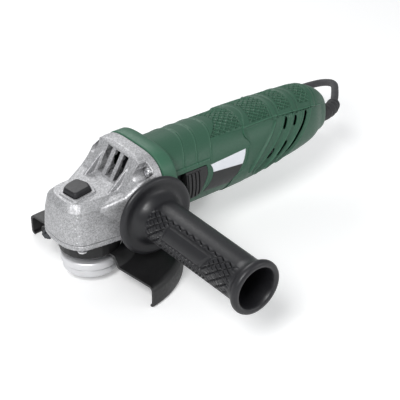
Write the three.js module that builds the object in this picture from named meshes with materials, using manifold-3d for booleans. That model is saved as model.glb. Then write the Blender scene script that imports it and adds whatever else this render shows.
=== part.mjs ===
// An angle grinder for 125 mm discs, in millimetres, +Z up.
// The origin is the centre of the spindle's lower end face. The spindle runs along +Z,
// the motor and the tail lie towards +X, and the side handle and the switch are on the -Y side.
import * as THREE from 'three';
import Module from 'manifold-3d';
import { mergeVertices } from 'three/addons/utils/BufferGeometryUtils.js';

const wasm = await Module();
wasm.setup();

// Shared values
const clearance = 0.3; // gap between pieces that touch
const overrun = 4; // how far a cut passes the face that it opens
const bond = 1; // how far joined forms reach into each other
const weld = 1e-4; // points closer than this are one
const around = { wide: 28, full: 24, half: 16, small: 12, tiny: 8 }; // steps in a full turn
const turn = 2 * Math.PI;

// Bevel gears
const gears = { module: 1.4, gearTeeth: 28, pinionTeeth: 8, faceWidth: 5.5, addendum: 0.9, dedendum: 1.5 };
const toothTipShare = 0.05; // half width of a tooth's tip, as a share of its pitch
const meshRatio = gears.pinionTeeth / gears.gearTeeth;
const gearPitchRadius = (gears.module * gears.gearTeeth) / 2;
const gearInnerRadius = gearPitchRadius - gears.faceWidth;
const pinionPitchRadius = gearPitchRadius * meshRatio;

// Spindle stack, from the lower end upwards
const nut = { radius: 20.5, height: 6, pinSpacing: 30, pinHoleRadius: 2.6, pinHoleDepth: 4, chamfer: 1 };
const flange = { radius: 21.7, height: 6.2, spigotRadius: 11, spigotHeight: 1.5, chamfer: 0.8 };
const spindle = {
  threadRadius: 6.8, shoulderRadius: 9, bearingRadius: 5.7, gearRadius: 5, journalRadius: 4, chamfer: 0.8,
};
const spindleBearing = { outerRadius: 16, innerRadius: 6, width: 10, groove: 1.2, inset: 3 };
const seal = { height: 5.9 };
const cover = { standOff: 5.5, floor: 2, neckLength: 12.2, neckRadius: 20, plate: 3.7, rear: 23.1 };
const bevelGear = {
  hubRadius: 7, hubHeight: 12.4, pitchRise: 10, web: 5, lockHoles: 7, lockHoleRadius: 3,
};
const bushing = { outerRadius: 6, innerRadius: 4.3, length: 6.5, gap: 0.6, wall: 2.4 };

const flangeBottom = nut.height + clearance;
const flangeTop = flangeBottom + flange.height;
const shoulderBottom = flangeTop + clearance;
const neckBottom = shoulderBottom + cover.standOff;
const neckFloor = neckBottom + cover.floor;
const sealBottom = neckFloor + clearance;
const sealTop = sealBottom + seal.height;
const bearingBottom = sealTop + clearance;
const bearingTop = bearingBottom + spindleBearing.width;
const coverBottom = neckBottom + cover.neckLength;
const coverTop = coverBottom + cover.plate;
const hubBottom = bearingTop + clearance;
const hubTop = hubBottom + bevelGear.hubHeight;
const bushingBottom = hubTop + bushing.gap;
const bushingTop = bushingBottom + bushing.length;
const spindleTop = bushingTop - clearance;
const gearPitchHeight = hubBottom + bevelGear.pitchRise;
const gearWebTop = gearPitchHeight - 1.2 * gears.addendum;

// The motor's axis crosses the spindle where the two pitch cones have their tips
const motorHeight = gearPitchHeight + pinionPitchRadius;

// Gear head
const head = {
  height: 28,
  nose: 28.6,
  shoulder: 4.6, // height of the wide bevel under the plateau
  cornerRadius: 4.6,
  chamberRadius: 21.5,
  upperChamberRadius: 15.5,
  roof: 5.8,
  recessRadius: 27.5,
  recessDepth: 7,
};
const plate = { front: 33, thickness: 5.7, halfWidth: 36, halfHeight: 34.5, corner: 9 };
// The grille's low and high edges are heights over the motor's axis
const grille = { width: 4.8, pitch: 10, low: 17.2, high: 29, back: 5.6, ribThickness: 2.2 };
const handleHole = { x: 28.4, drop: 3, radius: 5.2, depth: 9.5, bossRadius: 10, reach: 38.3 };
const flangeScrew = {
  spanY: 29.6,
  spanZ: 25.8,
  headRadius: 4.2,
  headHeight: 3,
  shankRadius: 2,
  length: 16.6,
  pocket: 6.4,
  seat: 1.1,
};
const coverScrew = {
  frontX: -17.4,
  frontY: 19.2,
  rearX: 15,
  rearY: 22.4,
  headRadius: 3.4,
  headHeight: 2.3,
  shankRadius: 1.7,
  length: 7,
};

const headBottom = coverTop + clearance;
const headTop = headBottom + head.height;
const headRear = plate.front + plate.thickness;
const handleHeight = motorHeight - handleHole.drop;

// Lock button
const lock = {
  x: -9.6,
  y: -3.6,
  travel: 3,
  pinRadius: 2.5,
  engagement: 2.6,
  bossRadius: 6.2,
  capRadius: 8,
  capHeight: 4.4,
  capHollow: 2,
  capBevel: 1.7,
  pinInCap: 3.3,
  skirt: 0.6,
  springBore: 4.5,
  springDepth: 4.2,
  wire: 0.9,
  coils: 3,
  rimHeight: 1.6,
  rimWidth: 1.6,
};
const lockFloor = headTop - lock.skirt - lock.travel - clearance;

// Pinion, shaft and bearings of the motor
const pinion = { hubLength: 1.8, boreRadius: 2.2, hubRadius: 5.1 };
const frontBearing = { outerRadius: 14, innerRadius: 6, width: 8, groove: 1, inset: 2.6, gap: 2.2 };
const shaft = { radius: 5.7, stubRadius: 1.9, rearRadius: 3.7 };
const rearBearing = { outerRadius: 11, innerRadius: 4, width: 7, groove: 0.8, inset: 2, gap: 3.5 };
const pinionRear = gearPitchRadius + pinion.hubLength;
const frontBearingX = pinionRear + frontBearing.gap;

// Motor
const fan = { radius: 25, plate: 1.4, bladeHeight: 6, bladeThickness: 1.2, blades: 9, hubRadius: 9, gap: 4 };
const baffle = { thickness: 1.8, boreRadius: 15.5, gap: 1.2 };
const barrel = { radius: 29.2, wall: 1.9, exponent: 2.1 };
const statorRadius = barrel.radius - barrel.wall - clearance;
const stator = { start: 62, length: 42, radius: statorRadius, flat: statorRadius - 4.7, boreRadius: 19 };
const fieldCoil = { thickness: 3, overhang: 4.6 };
const poleShares = { arc: 0.32, coil: 0.09 }; // of a full turn
const armature = { radius: 18.4, slots: 12, slotDepth: 4, slotShare: 0.22 };
const winding = { length: 8, radius: 16.8 };
const commutator = { radius: 11.5, length: 13, bars: 12, slotShare: 0.12, slotDepth: 0.7, gap: 3 };
const sleeve = { thickness: 1.8 };
const brush = { width: 8, depth: 6, length: 9, holderWall: 1, holderGap: 1.2 };
const statorRear = stator.start + stator.length;
const commutatorX = statorRear + winding.length + commutator.gap;
const commutatorRear = commutatorX + commutator.length;
const rearBearingX = commutatorRear + rearBearing.gap;
const rearBearingRear = rearBearingX + rearBearing.width;

// Motor housing and rear cover
const collar = { length: 14.7, halfWidth: 36.4, halfHeight: 35, corner: 10, edge: 1, slope: 3.5, hollow: 29 };
const seam = { x: 120, gap: 0.4 };
const neck = {
  radius: barrel.radius - 2.8, wall: 2, web: 2.5, cupWall: 2.2, airHoles: 5, airMargin: 1,
};
const tail = { x: 231, wall: 2.4, drop: 5.4 };
const vent = { width: 2.6, pitch: 10.6 };
const fixing = { x: 133, headRadius: 3.2, headHeight: 1.3, shankRadius: 1.5, length: 3.5, cover: 1.1 };
const collarFront = headRear + clearance;
const barrelFront = collarFront + collar.length;
const neckRear = rearBearingRear + clearance + neck.web;
const cupBore = rearBearing.outerRadius + clearance + sleeve.thickness + clearance;
const tailHeight = motorHeight - tail.drop;

// Slide switch: places along the body, and heights over the motor's axis
const slider = {
  front: 65.2,
  topRear: 84,
  bendRear: 84.4,
  lowRear: 77,
  footRear: 74.5,
  top: 10.6,
  bend: 4.6,
  low: -11.2,
  foot: -12.6,
  travel: 7,
  gap: 0.45,
  proud: 1.2,
  corner: 1.4,
  ribs: 4,
  ribWidth: 2.2,
  ribHeight: 1.1,
  ribMargin: 1.3,
};
const rod = { y: neck.radius - 1.5, thickness: 1.8, height: 7, grip: 10, arm: 2.4 };
const switchBody = { length: 25, halfWidth: 9, height: 15 };
const capacitor = { length: 20, radius: 6.5, rise: 12 };
const cordGrip = { x: tail.x - 21, length: 7, saddle: 8, halfWidth: 10.4, height: 9.4 };

// Guard and its clamp
const guard = {
  radius: 67,
  sheet: 1.8,
  lowest: -5.5,
  lip: 3.4,
  shoulder: 4.5,
  plateHeight: 12,
  stepOuter: 33,
  stepInner: 28.5,
  rimHeight: 19.6,
  tilt: 8, // degrees that the cut edge is turned from the Y axis
  setBack: 2,
};
const clamp = { thickness: 2.3, bottom: 17.8, top: 27.4, split: 5, reach: 35, ear: 2.2, at: 125, inset: 1.2 };
const clampScrew = {
  radius: 2, headRadius: 4, headHeight: 3, nutRadius: 4.2, nutHeight: 3, tip: 1, inset: 5.6,
};
const clampInner = cover.neckRadius + clearance;
const clampOuter = clampInner + clamp.thickness;
const clampMiddle = (clamp.bottom + clamp.top) / 2;
const clampScrewX = clamp.reach - clampScrew.inset;
const earFace = clamp.split / 2 + clamp.ear;

// Side handle: radii, and places along its axis counted from the gear head's boss
const gripLength = 109;
const grip = {
  bossRadius: 12,
  discRadius: 29.4,
  discAt: 3.2,
  discEdge: 6,
  dishRadius: 22,
  dishAt: 5.2,
  neckRadius: 18.5,
  neckAt: 7,
  tubeStart: 13,
  tubeRadius: 15.8,
  tubeEndRadius: 15.1,
  tubeEnd: gripLength - 15,
  flareAt: gripLength - 9,
  flareRadius: 16.6,
  ringAt: gripLength - 4.5,
  ringRadius: 18.9,
  length: gripLength,
  mouthRadius: 14.3,
  mouthDepth: 1.5,
  boreRadius: 11.4,
  boreEndRadius: 10.5,
  boreFrom: 37,
  insertDepth: 24,
};
const stud = { radius: 4.9, inHandle: 23, chamfer: 0.8 };

// Strain relief, cord and plug
const relief = {
  tailRadius: 3.2,
  tailLength: tail.x - cordGrip.x + cordGrip.length,
  collarRadius: 8,
  collarLength: 3.8,
  rootRadius: 6.6,
  tipRadius: 4.6,
  ribDepth: 0.6,
  ribs: 4,
  bendRadius: 30,
  bend: 40, // degrees
  sides: 10,
};
const cord = { radius: 3.25, sides: 8, steps: 26, straight: 13 };
const coil = {
  x: 94,
  y: 72,
  innerRadius: 26.2,
  spacing: 7.1,
  turns: 6.625,
  sides: 6,
  steps: 24,
  leadIn: 8,
  leadOut: 30,
  lift: 0.05,
};
const plug = { length: 50, neckRadius: 4.8, neckEnd: 6.2, halfWidth: 17.5, halfHeight: 10.3, faceInset: 1.6 };
const plugPin = { radius: 2.4, length: 19, spacing: 19, buried: 10 };

// Materials
const finish = (color, roughness, metalness) => new THREE.MeshStandardMaterial({
  color, roughness, metalness, flatShading: true,
});
const castAluminium = finish(0xb9bcbf, 0.55, 0.85);
const brightSteel = finish(0xc9ccd0, 0.28, 0.95);
const darkSteel = finish(0x4b4d50, 0.4, 0.9);
const blackPaint = finish(0x18191b, 0.42, 0.3);
const greenPlastic = finish(0x2c6049, 0.5, 0);
const blackPlastic = finish(0x1b1c1d, 0.55, 0);
const blackRubber = finish(0x232425, 0.75, 0);
const copper = finish(0xa9633a, 0.35, 0.9);
const brass = finish(0xb89b55, 0.35, 0.9);
const carbon = finish(0x2b2b2c, 0.7, 0.1);
const whitePlastic = finish(0xd8d4c8, 0.5, 0);

// Turns a three.js geometry into a solid whose faces point outwards.
function solid(geometry) {
  for (const name of Object.keys(geometry.attributes)) {
    if (name !== 'position') geometry.deleteAttribute(name);
  }
  const merged = mergeVertices(geometry, weld);
  const { position } = merged.attributes;
  const index = merged.index.array;
  const corners = [0, 1, 2].map(() => new THREE.Vector3());
  const triangles = [];
  let volume = 0;
  for (let i = 0; i < index.length; i += 3) {
    const triangle = [index[i], index[i + 1], index[i + 2]];
    if (new Set(triangle).size < 3) continue;
    triangles.push(...triangle);
    triangle.forEach((vertex, k) => corners[k].fromBufferAttribute(position, vertex));
    volume += corners[0].dot(corners[1].clone().cross(corners[2]));
  }
  if (volume < 0) triangles.reverse();
  return new wasm.Manifold(new wasm.Mesh({
    numProp: 3,
    vertProperties: new Float32Array(position.array),
    triVerts: new Uint32Array(triangles),
  }));
}

// Frames that stand a drawing up: a shape's two axes, then the direction of extrusion
const unit = { x: new THREE.Vector3(1, 0, 0), y: new THREE.Vector3(0, 1, 0), z: new THREE.Vector3(0, 0, 1) };
const alongX = new THREE.Matrix4().makeBasis(unit.y, unit.z, unit.x);
const alongY = new THREE.Matrix4().makeBasis(unit.z, unit.x, unit.y);
const alongZ = new THREE.Matrix4();
const outwards = new THREE.Matrix4().makeBasis(unit.x, unit.z, unit.y.clone().negate());

function place(geometry, frame, at = [0, 0, 0]) {
  geometry.applyMatrix4(frame);
  geometry.translate(...at);
  return solid(geometry);
}

const span = (a, b) => (a < b ? [a, b] : [b, a]);
const both = (half) => [-half, half];
const repeat = (count, make) => Array.from({ length: count }, (_, i) => make(i));
const mirrored = (make) => [-1, 1].map((side) => make(side));
const polygon = (points) => new THREE.Shape(points.map(([a, b]) => new THREE.Vector2(a, b)));
const polar = (angle, radius, height) => (
  new THREE.Vector3(radius * Math.cos(angle), radius * Math.sin(angle), height));
const shift = (points, a, b) => points.map(([x, y]) => [x + a, y + b]);
const join = (solids) => solids.reduce((sum, next) => sum.add(next));
const cut = (body, tools) => tools.reduce((rest, tool) => rest.subtract(tool), body);

function extrude(shape, frame, from, to, curveSegments = 6) {
  const geometry = new THREE.ExtrudeGeometry(shape, { depth: to - from, bevelEnabled: false, curveSegments });
  geometry.translate(0, 0, from);
  return place(geometry, frame);
}

function cylinder(frame, at, radius, ends, steps = around.half) {
  const [from, to] = span(...ends);
  const geometry = new THREE.CylinderGeometry(radius, radius, to - from, steps);
  geometry.rotateX(turn / 4);
  geometry.translate(0, 0, (from + to) / 2);
  return place(geometry, frame, at);
}
const postX = (y, z, radius, ends, steps) => cylinder(alongX, [0, y, z], radius, ends, steps);
const postY = (x, z, radius, ends, steps) => cylinder(alongY, [x, 0, z], radius, ends, steps);
const postZ = (x, y, radius, ends, steps) => cylinder(alongZ, [x, y, 0], radius, ends, steps);
const motorPost = (radius, ends, steps) => postX(0, motorHeight, radius, ends, steps);
const onMotorAxis = (shape, ends, segments) => (
  extrude(shape, alongX, ...ends, segments).translate([0, 0, motorHeight]));

function block(x, y, z) {
  const [size, middle] = [new THREE.Vector3(), new THREE.Vector3()];
  const box = new THREE.Box3(new THREE.Vector3(x[0], y[0], z[0]), new THREE.Vector3(x[1], y[1], z[1]));
  box.getSize(size);
  box.getCenter(middle);
  return place(new THREE.BoxGeometry(...size), alongZ, middle.toArray());
}

// Revolves a closed profile of [radius, station] points about the frame's third axis.
function revolve(profile, frame, at, steps = around.full) {
  const points = [...profile, profile[0]].map(([radius, station]) => new THREE.Vector2(radius, station));
  const geometry = new THREE.LatheGeometry(points, steps);
  geometry.rotateX(turn / 4);
  return place(geometry, frame, at);
}
const turnedZ = (profile, steps) => revolve(profile, alongZ, [0, 0, 0], steps);
const turnedX = (profile, steps) => revolve(profile, alongX, [0, 0, motorHeight], steps);
const tube = (inner, outer, from, to) => [[inner, from], [outer, from], [outer, to], [inner, to]];

function arc(centre, radius, fromDegrees, toDegrees, count) {
  return repeat(count + 1, (i) => {
    const angle = THREE.MathUtils.degToRad(THREE.MathUtils.lerp(fromDegrees, toDegrees, i / count));
    return [centre[0] + radius * Math.cos(angle), centre[1] + radius * Math.sin(angle)];
  });
}

// Joins rings of as many points each into one skin with flat ends.
function loft(rings) {
  const count = rings[0].length;
  const points = rings.flat();
  const index = [];
  for (let ring = 0; ring + 1 < rings.length; ring += 1) {
    for (let i = 0; i < count; i += 1) {
      const [a, b] = [ring * count + i, ring * count + ((i + 1) % count)];
      index.push(a, b, b + count, a, b + count, a + count);
    }
  }
  for (const [first, flip] of [[0, true], [points.length - count, false]]) {
    const hub = points.length;
    const centre = new THREE.Vector3();
    for (let i = 0; i < count; i += 1) {
      const [a, b] = [first + i, first + ((i + 1) % count)];
      centre.addScaledVector(points[a], 1 / count);
      index.push(...(flip ? [hub, b, a] : [hub, a, b]));
    }
    points.push(centre);
  }
  const geometry = new THREE.BufferGeometry().setFromPoints(points);
  geometry.setIndex(index);
  return solid(geometry);
}

// Rounds every corner of a polygon with the same number of points.
function rounded(points, radius, count = 3) {
  return points.flatMap((corner, i) => {
    const here = new THREE.Vector2(...corner);
    const before = new THREE.Vector2(...points.at(i - 1)).sub(here);
    const after = new THREE.Vector2(...points[(i + 1) % points.length]).sub(here);
    const reach = Math.min(radius, 0.45 * before.length(), 0.45 * after.length());
    const start = here.clone().addScaledVector(before.normalize(), reach);
    const end = here.clone().addScaledVector(after.normalize(), reach);
    return new THREE.QuadraticBezierCurve(start, here, end).getPoints(count).map((point) => point.toArray());
  });
}

function roundedRectangle(halfWidth, halfHeight, radius, count) {
  const corners = [[-1, -1], [1, -1], [1, 1], [-1, 1]];
  return rounded(corners.map(([a, b]) => [a * halfWidth, b * halfHeight]), radius, count);
}

const part = new THREE.Group();
part.name = 'angle_grinder';

function add(name, body, material) {
  const { numProp, vertProperties, triVerts } = body.getMesh();
  const geometry = new THREE.BufferGeometry();
  geometry.setAttribute('position', new THREE.Float32BufferAttribute(vertProperties, numProp));
  geometry.setIndex(new THREE.Uint32BufferAttribute(triVerts, 1));
  geometry.computeVertexNormals();
  const mesh = new THREE.Mesh(geometry, material);
  mesh.name = name;
  part.add(mesh);
}

// Gear head

// Half outlines of the head in plan, from the nose to the rear, as shares of the nose's length
const planShares = {
  foot: [[-1, 0.3], [-0.93, 0.56], [-0.72, 0.86], [0.05, 0.97], [0.6, 1.04], [1.15, 1.12]],
  waist: [[-0.97, 0.28], [-0.9, 0.53], [-0.68, 0.8], [0.05, 0.9], [0.6, 1], [1.15, 1.12]],
  brow: [[-0.9, 0.26], [-0.84, 0.48], [-0.64, 0.72], [0.05, 0.79], [0.6, 0.84], [1.15, 0.92]],
  plateau: [[-0.74, 0.22], [-0.69, 0.4], [-0.52, 0.56], [0.05, 0.61], [0.6, 0.62], [1.15, 0.62]],
};

function headOutline(shares) {
  const near = shares.map(([x, y]) => [x * head.nose, -y * head.nose]);
  const far = shares.map(([x, y]) => [x * head.nose, y * head.nose]).reverse();
  return rounded([...near, ...far], head.cornerRadius, 2);
}
const headRing = (shares, z) => headOutline(shares).map(([x, y]) => new THREE.Vector3(x, y, z));

// Sections of the flare behind the head: place, half width, low and high edge,
// as shares of the plate's front, half width and half height
const flareShares = [
  [0.2, 0.66, -0.48, 0.2],
  [0.5, 0.7, -0.5, 0.32],
  [0.72, 0.78, -0.5, 0.66],
  [0.86, 0.86, -0.78, 0.88],
  [1.01, 0.95, -0.95, 0.96],
];

function flareRing([x, halfWidth, low, high]) {
  const half = ((high - low) / 2) * plate.halfHeight;
  const middle = motorHeight + ((high + low) / 2) * plate.halfHeight;
  const outline = roundedRectangle(halfWidth * plate.halfWidth, half, plate.corner, 3);
  return outline.map(([y, z]) => new THREE.Vector3(x * plate.front, y, z + middle));
}

// The webs beside the grille in the side view, as shares of the plate's front and half height
const webShares = {
  inner: [[0.2, 0.1], [0.2, 0.26], [0.32, 0.36], [0.9, 0.84], [0.98, 0.84], [0.98, 0.1]],
  outer: [[0.3, 0.1], [0.3, 0.16], [0.4, 0.24], [0.92, 0.74], [0.98, 0.74], [0.98, 0.1]],
};
const webPlaceShares = { inner: 1.55, outer: 2.35 }; // of the grille's pitch

function headWeb(name, side) {
  const profile = webShares[name].map(([x, z]) => [motorHeight + z * plate.halfHeight, x * plate.front]);
  const y = side * webPlaceShares[name] * grille.pitch;
  return extrude(polygon(profile), alongY, y - grille.ribThickness / 2, y + grille.ribThickness / 2);
}

function flangeScrewPlaces() {
  const { spanY, spanZ } = flangeScrew;
  return mirrored((y) => mirrored((z) => [y * spanY, motorHeight + z * spanZ])).flat();
}

function coverScrewPlaces() {
  const { frontX, frontY, rearX, rearY } = coverScrew;
  return mirrored((side) => [[frontX, side * frontY], [rearX, side * rearY]]).flat();
}

function headBody() {
  const shell = loft([
    headRing(planShares.foot, headBottom),
    headRing(planShares.waist, headBottom + 0.5 * head.height),
    headRing(planShares.brow, headTop - head.shoulder),
    headRing(planShares.plateau, headTop),
  ]);
  const outline = shift(roundedRectangle(plate.halfWidth, plate.halfHeight, plate.corner, 5), 0, motorHeight);
  const rear = extrude(polygon(outline), alongX, plate.front, headRear);
  const bosses = mirrored((side) => postY(
    handleHole.x, handleHeight, handleHole.bossRadius, [side * head.chamberRadius, side * handleHole.reach]));
  const webs = mirrored((side) => [headWeb('inner', side), headWeb('outer', side)]).flat();
  const rimRadius = lock.capRadius + clearance + lock.rimWidth;
  const rim = postZ(lock.x, lock.y, rimRadius, [headTop - bond, headTop + lock.rimHeight])
    .intersect(block([lock.x - 2 * rimRadius, lock.x], [lock.y - 2 * rimRadius, lock.y + 2 * rimRadius],
      [headBottom, headTop + 2 * lock.rimHeight]));
  return join([shell, loft(flareShares.map(flareRing)), rear, ...bosses, ...webs, rim]);
}

function gearHousing() {
  const bushingBoss = postZ(0, 0, bushing.outerRadius + bushing.wall, [bushingBottom, headTop - bond]);
  const pinBoss = postZ(lock.x, lock.y, lock.bossRadius, [bushingBottom, headTop - bond]);
  const upperChamber = postZ(0, 0, head.upperChamberRadius,
    [bushingBottom - bond, headTop - head.roof], around.full);
  const grilleBack = headRear - grille.back;
  const rounds = [
    postZ(0, 0, head.chamberRadius, [headBottom - overrun, bushingBottom], around.full),
    cut(upperChamber, [bushingBoss, pinBoss]),
    motorPost(pinionPitchRadius + 3 * gears.addendum, [gearInnerRadius - 3 * gears.addendum, frontBearingX]),
    motorPost(frontBearing.outerRadius + clearance, [frontBearingX - clearance, headRear], around.half),
    motorPost(head.recessRadius, [headRear - head.recessDepth, headRear + overrun], around.full),
    postZ(lock.x, lock.y, lock.capRadius + clearance, [lockFloor, headTop + overrun]),
    postZ(lock.x, lock.y, lock.springBore, [lockFloor - lock.springDepth, headTop], around.small),
    postZ(lock.x, lock.y, lock.pinRadius + clearance, [headBottom, headTop], around.small),
    postZ(0, 0, bushing.outerRadius + clearance, [headBottom, bushingTop + clearance]),
  ];
  const slots = [-1, 0, 1].map((row) => block(
    [0.4 * plate.front, grilleBack],
    [row * grille.pitch - grille.width / 2, row * grille.pitch + grille.width / 2],
    [motorHeight + grille.low, motorHeight + grille.high],
  ));
  const airWay = block([0.8 * plate.front, grilleBack], both(1.35 * grille.pitch),
    [motorHeight + 1.09 * grille.low, motorHeight + 0.87 * grille.high]);
  const pockets = flangeScrewPlaces().flatMap(([y, z]) => [
    postX(y, z, flangeScrew.pocket, [0.3 * plate.front, plate.front + flangeScrew.seat], around.small),
    postX(y, z, flangeScrew.shankRadius + clearance, [plate.front, headRear + overrun], around.tiny),
  ]);
  const handleHoles = mirrored((side) => postY(handleHole.x, handleHeight, handleHole.radius,
    [side * (handleHole.reach + overrun), side * (handleHole.reach - handleHole.depth)], around.small));
  const coverHoles = coverScrewPlaces().map(([x, y]) => postZ(x, y, coverScrew.shankRadius + clearance,
    [coverBottom, coverBottom + coverScrew.length + clearance], around.tiny));
  return cut(headBody(), [...rounds, airWay, ...slots, ...pockets, ...handleHoles, ...coverHoles]);
}

function bearingCover() {
  const reach = 2 * head.nose;
  const front = block([-reach, cover.rear], both(reach), [0, headTop]);
  const band = extrude(polygon(headOutline(planShares.foot)), alongZ, coverBottom, coverTop).intersect(front);
  const collarNeck = postZ(0, 0, cover.neckRadius, [neckBottom, coverTop], around.full);
  const bore = postZ(0, 0, spindleBearing.outerRadius + clearance,
    [neckFloor, coverTop + overrun], around.half);
  const mouth = postZ(0, 0, spindle.shoulderRadius + 2 * clearance, [0, coverTop], around.half);
  const holes = coverScrewPlaces().map(([x, y]) => postZ(x, y, coverScrew.shankRadius + clearance,
    [0, coverTop + overrun], around.tiny));
  return cut(band.add(collarNeck), [bore, mouth, ...holes]);
}

// A pan-head screw: its head lies below the seat at station 0, and its shank runs up from there.
function screwProfile({ headRadius, headHeight, shankRadius, length }) {
  return [
    [0, -headHeight - clearance],
    [0.7 * headRadius, -headHeight - clearance],
    [headRadius, -clearance],
    [shankRadius, -clearance],
    [shankRadius, length],
    [0, length],
  ];
}

function addHeadScrews() {
  const seat = plate.front + flangeScrew.seat;
  flangeScrewPlaces().forEach(([y, z], i) => {
    const body = revolve(screwProfile(flangeScrew), alongX, [seat, y, z], around.tiny);
    add(`head_screw_${i + 1}`, body, brightSteel);
  });
  coverScrewPlaces().forEach(([x, y], i) => {
    const body = revolve(screwProfile(coverScrew), alongZ, [x, y, coverBottom], around.tiny);
    add(`cover_screw_${i + 1}`, body, brightSteel);
  });
}

// Spindle, gear and what sits on them

function spindleBody() {
  const { threadRadius, shoulderRadius, bearingRadius, gearRadius, journalRadius, chamfer } = spindle;
  return turnedZ([
    [0, 0],
    [threadRadius - chamfer, 0],
    [threadRadius, chamfer],
    [threadRadius, shoulderBottom],
    [shoulderRadius, shoulderBottom],
    [shoulderRadius, bearingBottom - clearance],
    [bearingRadius, bearingBottom - clearance],
    [bearingRadius, bearingTop],
    [gearRadius, bearingTop],
    [gearRadius, hubTop],
    [journalRadius, hubTop],
    [journalRadius, spindleTop],
    [0, spindleTop],
  ], around.half);
}

// Sweeps a toothed body round its axis: section(angle, lift) gives its outline at one flank line.
function toothed(teeth, phase, section, frame, at) {
  const flanks = [
    [0, -gears.dedendum],
    [0.5 - toothTipShare, gears.addendum],
    [0.5 + toothTipShare, gears.addendum],
  ];
  const rings = repeat(teeth, (tooth) => flanks.map(([share, lift]) => (
    section((turn * (tooth + share + phase)) / teeth, lift)))).flat();
  const count = rings[0].length;
  const index = rings.flatMap((_, ring) => repeat(count, (i) => {
    const [a, b] = [ring * count + i, ring * count + ((i + 1) % count)];
    const next = (((ring + 1) % rings.length) - ring) * count;
    return [a, b, b + next, a, b + next, a + next];
  }).flat());
  const geometry = new THREE.BufferGeometry().setFromPoints(rings.flat());
  geometry.setIndex(index);
  return place(geometry, frame, at);
}
const smallEnd = gearInnerRadius / gearPitchRadius; // size of a tooth at its inner end

function bevelGearBody() {
  const bore = spindle.gearRadius + clearance;
  const webBottom = gearWebTop - bevelGear.web;
  const pitchAt = (radius) => motorHeight - radius * meshRatio;
  const section = (angle, lift) => [
    [gearInnerRadius, webBottom],
    [gearInnerRadius, pitchAt(gearInnerRadius) + lift * smallEnd],
    [gearPitchRadius, pitchAt(gearPitchRadius) + lift],
    [gearPitchRadius, webBottom],
  ].map(([radius, height]) => polar(angle, radius, height));
  const hub = turnedZ([
    [bore, hubBottom],
    [bevelGear.hubRadius, hubBottom],
    [bevelGear.hubRadius, webBottom],
    [gearInnerRadius + bond, webBottom + bond],
    [gearInnerRadius + bond, gearWebTop - bond],
    [bevelGear.hubRadius, gearWebTop],
    [bevelGear.hubRadius, hubTop],
    [bore, hubTop],
  ], around.half);
  const radius = Math.hypot(lock.x, lock.y);
  const first = Math.atan2(lock.y, lock.x);
  const holes = repeat(bevelGear.lockHoles, (i) => {
    const spot = polar(first + (turn * i) / bevelGear.lockHoles, radius, 0);
    return postZ(spot.x, spot.y, bevelGear.lockHoleRadius, [0, hubTop], around.tiny);
  });
  return cut(toothed(gears.gearTeeth, 0, section, alongZ, [0, 0, 0]).add(hub), holes);
}

function pinionBody() {
  const section = (angle, lift) => [
    [pinion.boreRadius, gearInnerRadius],
    [gearInnerRadius * meshRatio + lift * smallEnd, gearInnerRadius],
    [pinionPitchRadius + lift, gearPitchRadius],
    [pinion.hubRadius, gearPitchRadius + clearance],
    [pinion.hubRadius, pinionRear],
    [pinion.boreRadius, pinionRear],
  ].map(([radius, height]) => polar(angle, radius, height));
  // One tooth points straight down, into a gap of the gear
  const phase = (3 / 4) * gears.pinionTeeth - 1 / 2;
  return toothed(gears.pinionTeeth, phase, section, alongX, [0, 0, motorHeight]);
}

// A ball bearing, closed by shields that lie in grooves between its two races.
function bearingProfile({ outerRadius, innerRadius, width, groove, inset }) {
  const [low, high] = [innerRadius + inset, outerRadius - inset];
  const middle = (low + high) / 2;
  return [
    [innerRadius, 0], [low, 0], [middle, groove], [high, 0], [outerRadius, 0],
    [outerRadius, width], [high, width], [middle, width - groove], [low, width], [innerRadius, width],
  ];
}

function innerFlange() {
  const bore = spindle.threadRadius + clearance;
  const { radius, chamfer, spigotRadius, spigotHeight } = flange;
  return turnedZ([
    [bore, flangeBottom - spigotHeight],
    [spigotRadius, flangeBottom - spigotHeight],
    [spigotRadius, flangeBottom],
    [radius - chamfer, flangeBottom],
    [radius, flangeBottom + chamfer],
    [radius, flangeTop - chamfer],
    [radius - chamfer, flangeTop],
    [bore, flangeTop],
  ], around.wide);
}

function outerNut() {
  const bore = spindle.threadRadius + clearance;
  const recess = nut.height - flange.spigotHeight - clearance;
  const { radius, chamfer, height } = nut;
  const body = turnedZ([
    [bore, 0],
    [radius - chamfer, 0],
    [radius, chamfer],
    [radius, height - chamfer / 2],
    [radius - chamfer / 2, height],
    [flange.spigotRadius + clearance, height],
    [flange.spigotRadius + clearance, recess],
    [bore, recess],
  ], around.wide);
  return cut(body, mirrored((side) => postZ(0, (side * nut.pinSpacing) / 2, nut.pinHoleRadius,
    [-overrun, nut.pinHoleDepth], around.tiny)));
}

// Lock button

function lockCap() {
  const bottom = headTop - lock.skirt;
  const top = bottom + lock.capHeight;
  const ring = (radius, z) => {
    const corners = repeat(6, (i) => polar((turn * (i + 0.5)) / 6, radius, 0).toArray());
    return rounded(corners, 0.3 * radius, 2).map(([x, y]) => new THREE.Vector3(lock.x + x, lock.y + y, z));
  };
  const { capRadius, capBevel } = lock;
  const body = loft([
    ring(capRadius, bottom),
    ring(capRadius, top - capBevel),
    ring(capRadius - capBevel, top),
  ]);
  const hollow = postZ(lock.x, lock.y, lock.springBore, [headBottom, bottom + lock.capHollow], around.small);
  const pinHole = postZ(lock.x, lock.y, lock.pinRadius + clearance,
    [headBottom, bottom + lock.pinInCap], around.small);
  return cut(body, [hollow, pinHole]);
}

function lockPin() {
  const bottom = gearWebTop + lock.travel - lock.engagement;
  const top = headTop - lock.skirt + lock.pinInCap - clearance;
  return postZ(lock.x, lock.y, lock.pinRadius, [bottom, top], around.small);
}

class Helix extends THREE.Curve {
  constructor(radius, height, turns) {
    super();
    Object.assign(this, { radius, height, turns });
  }

  getPoint(share, target = new THREE.Vector3()) {
    return target.copy(polar(turn * this.turns * share, this.radius, this.height * share));
  }
}

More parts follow.
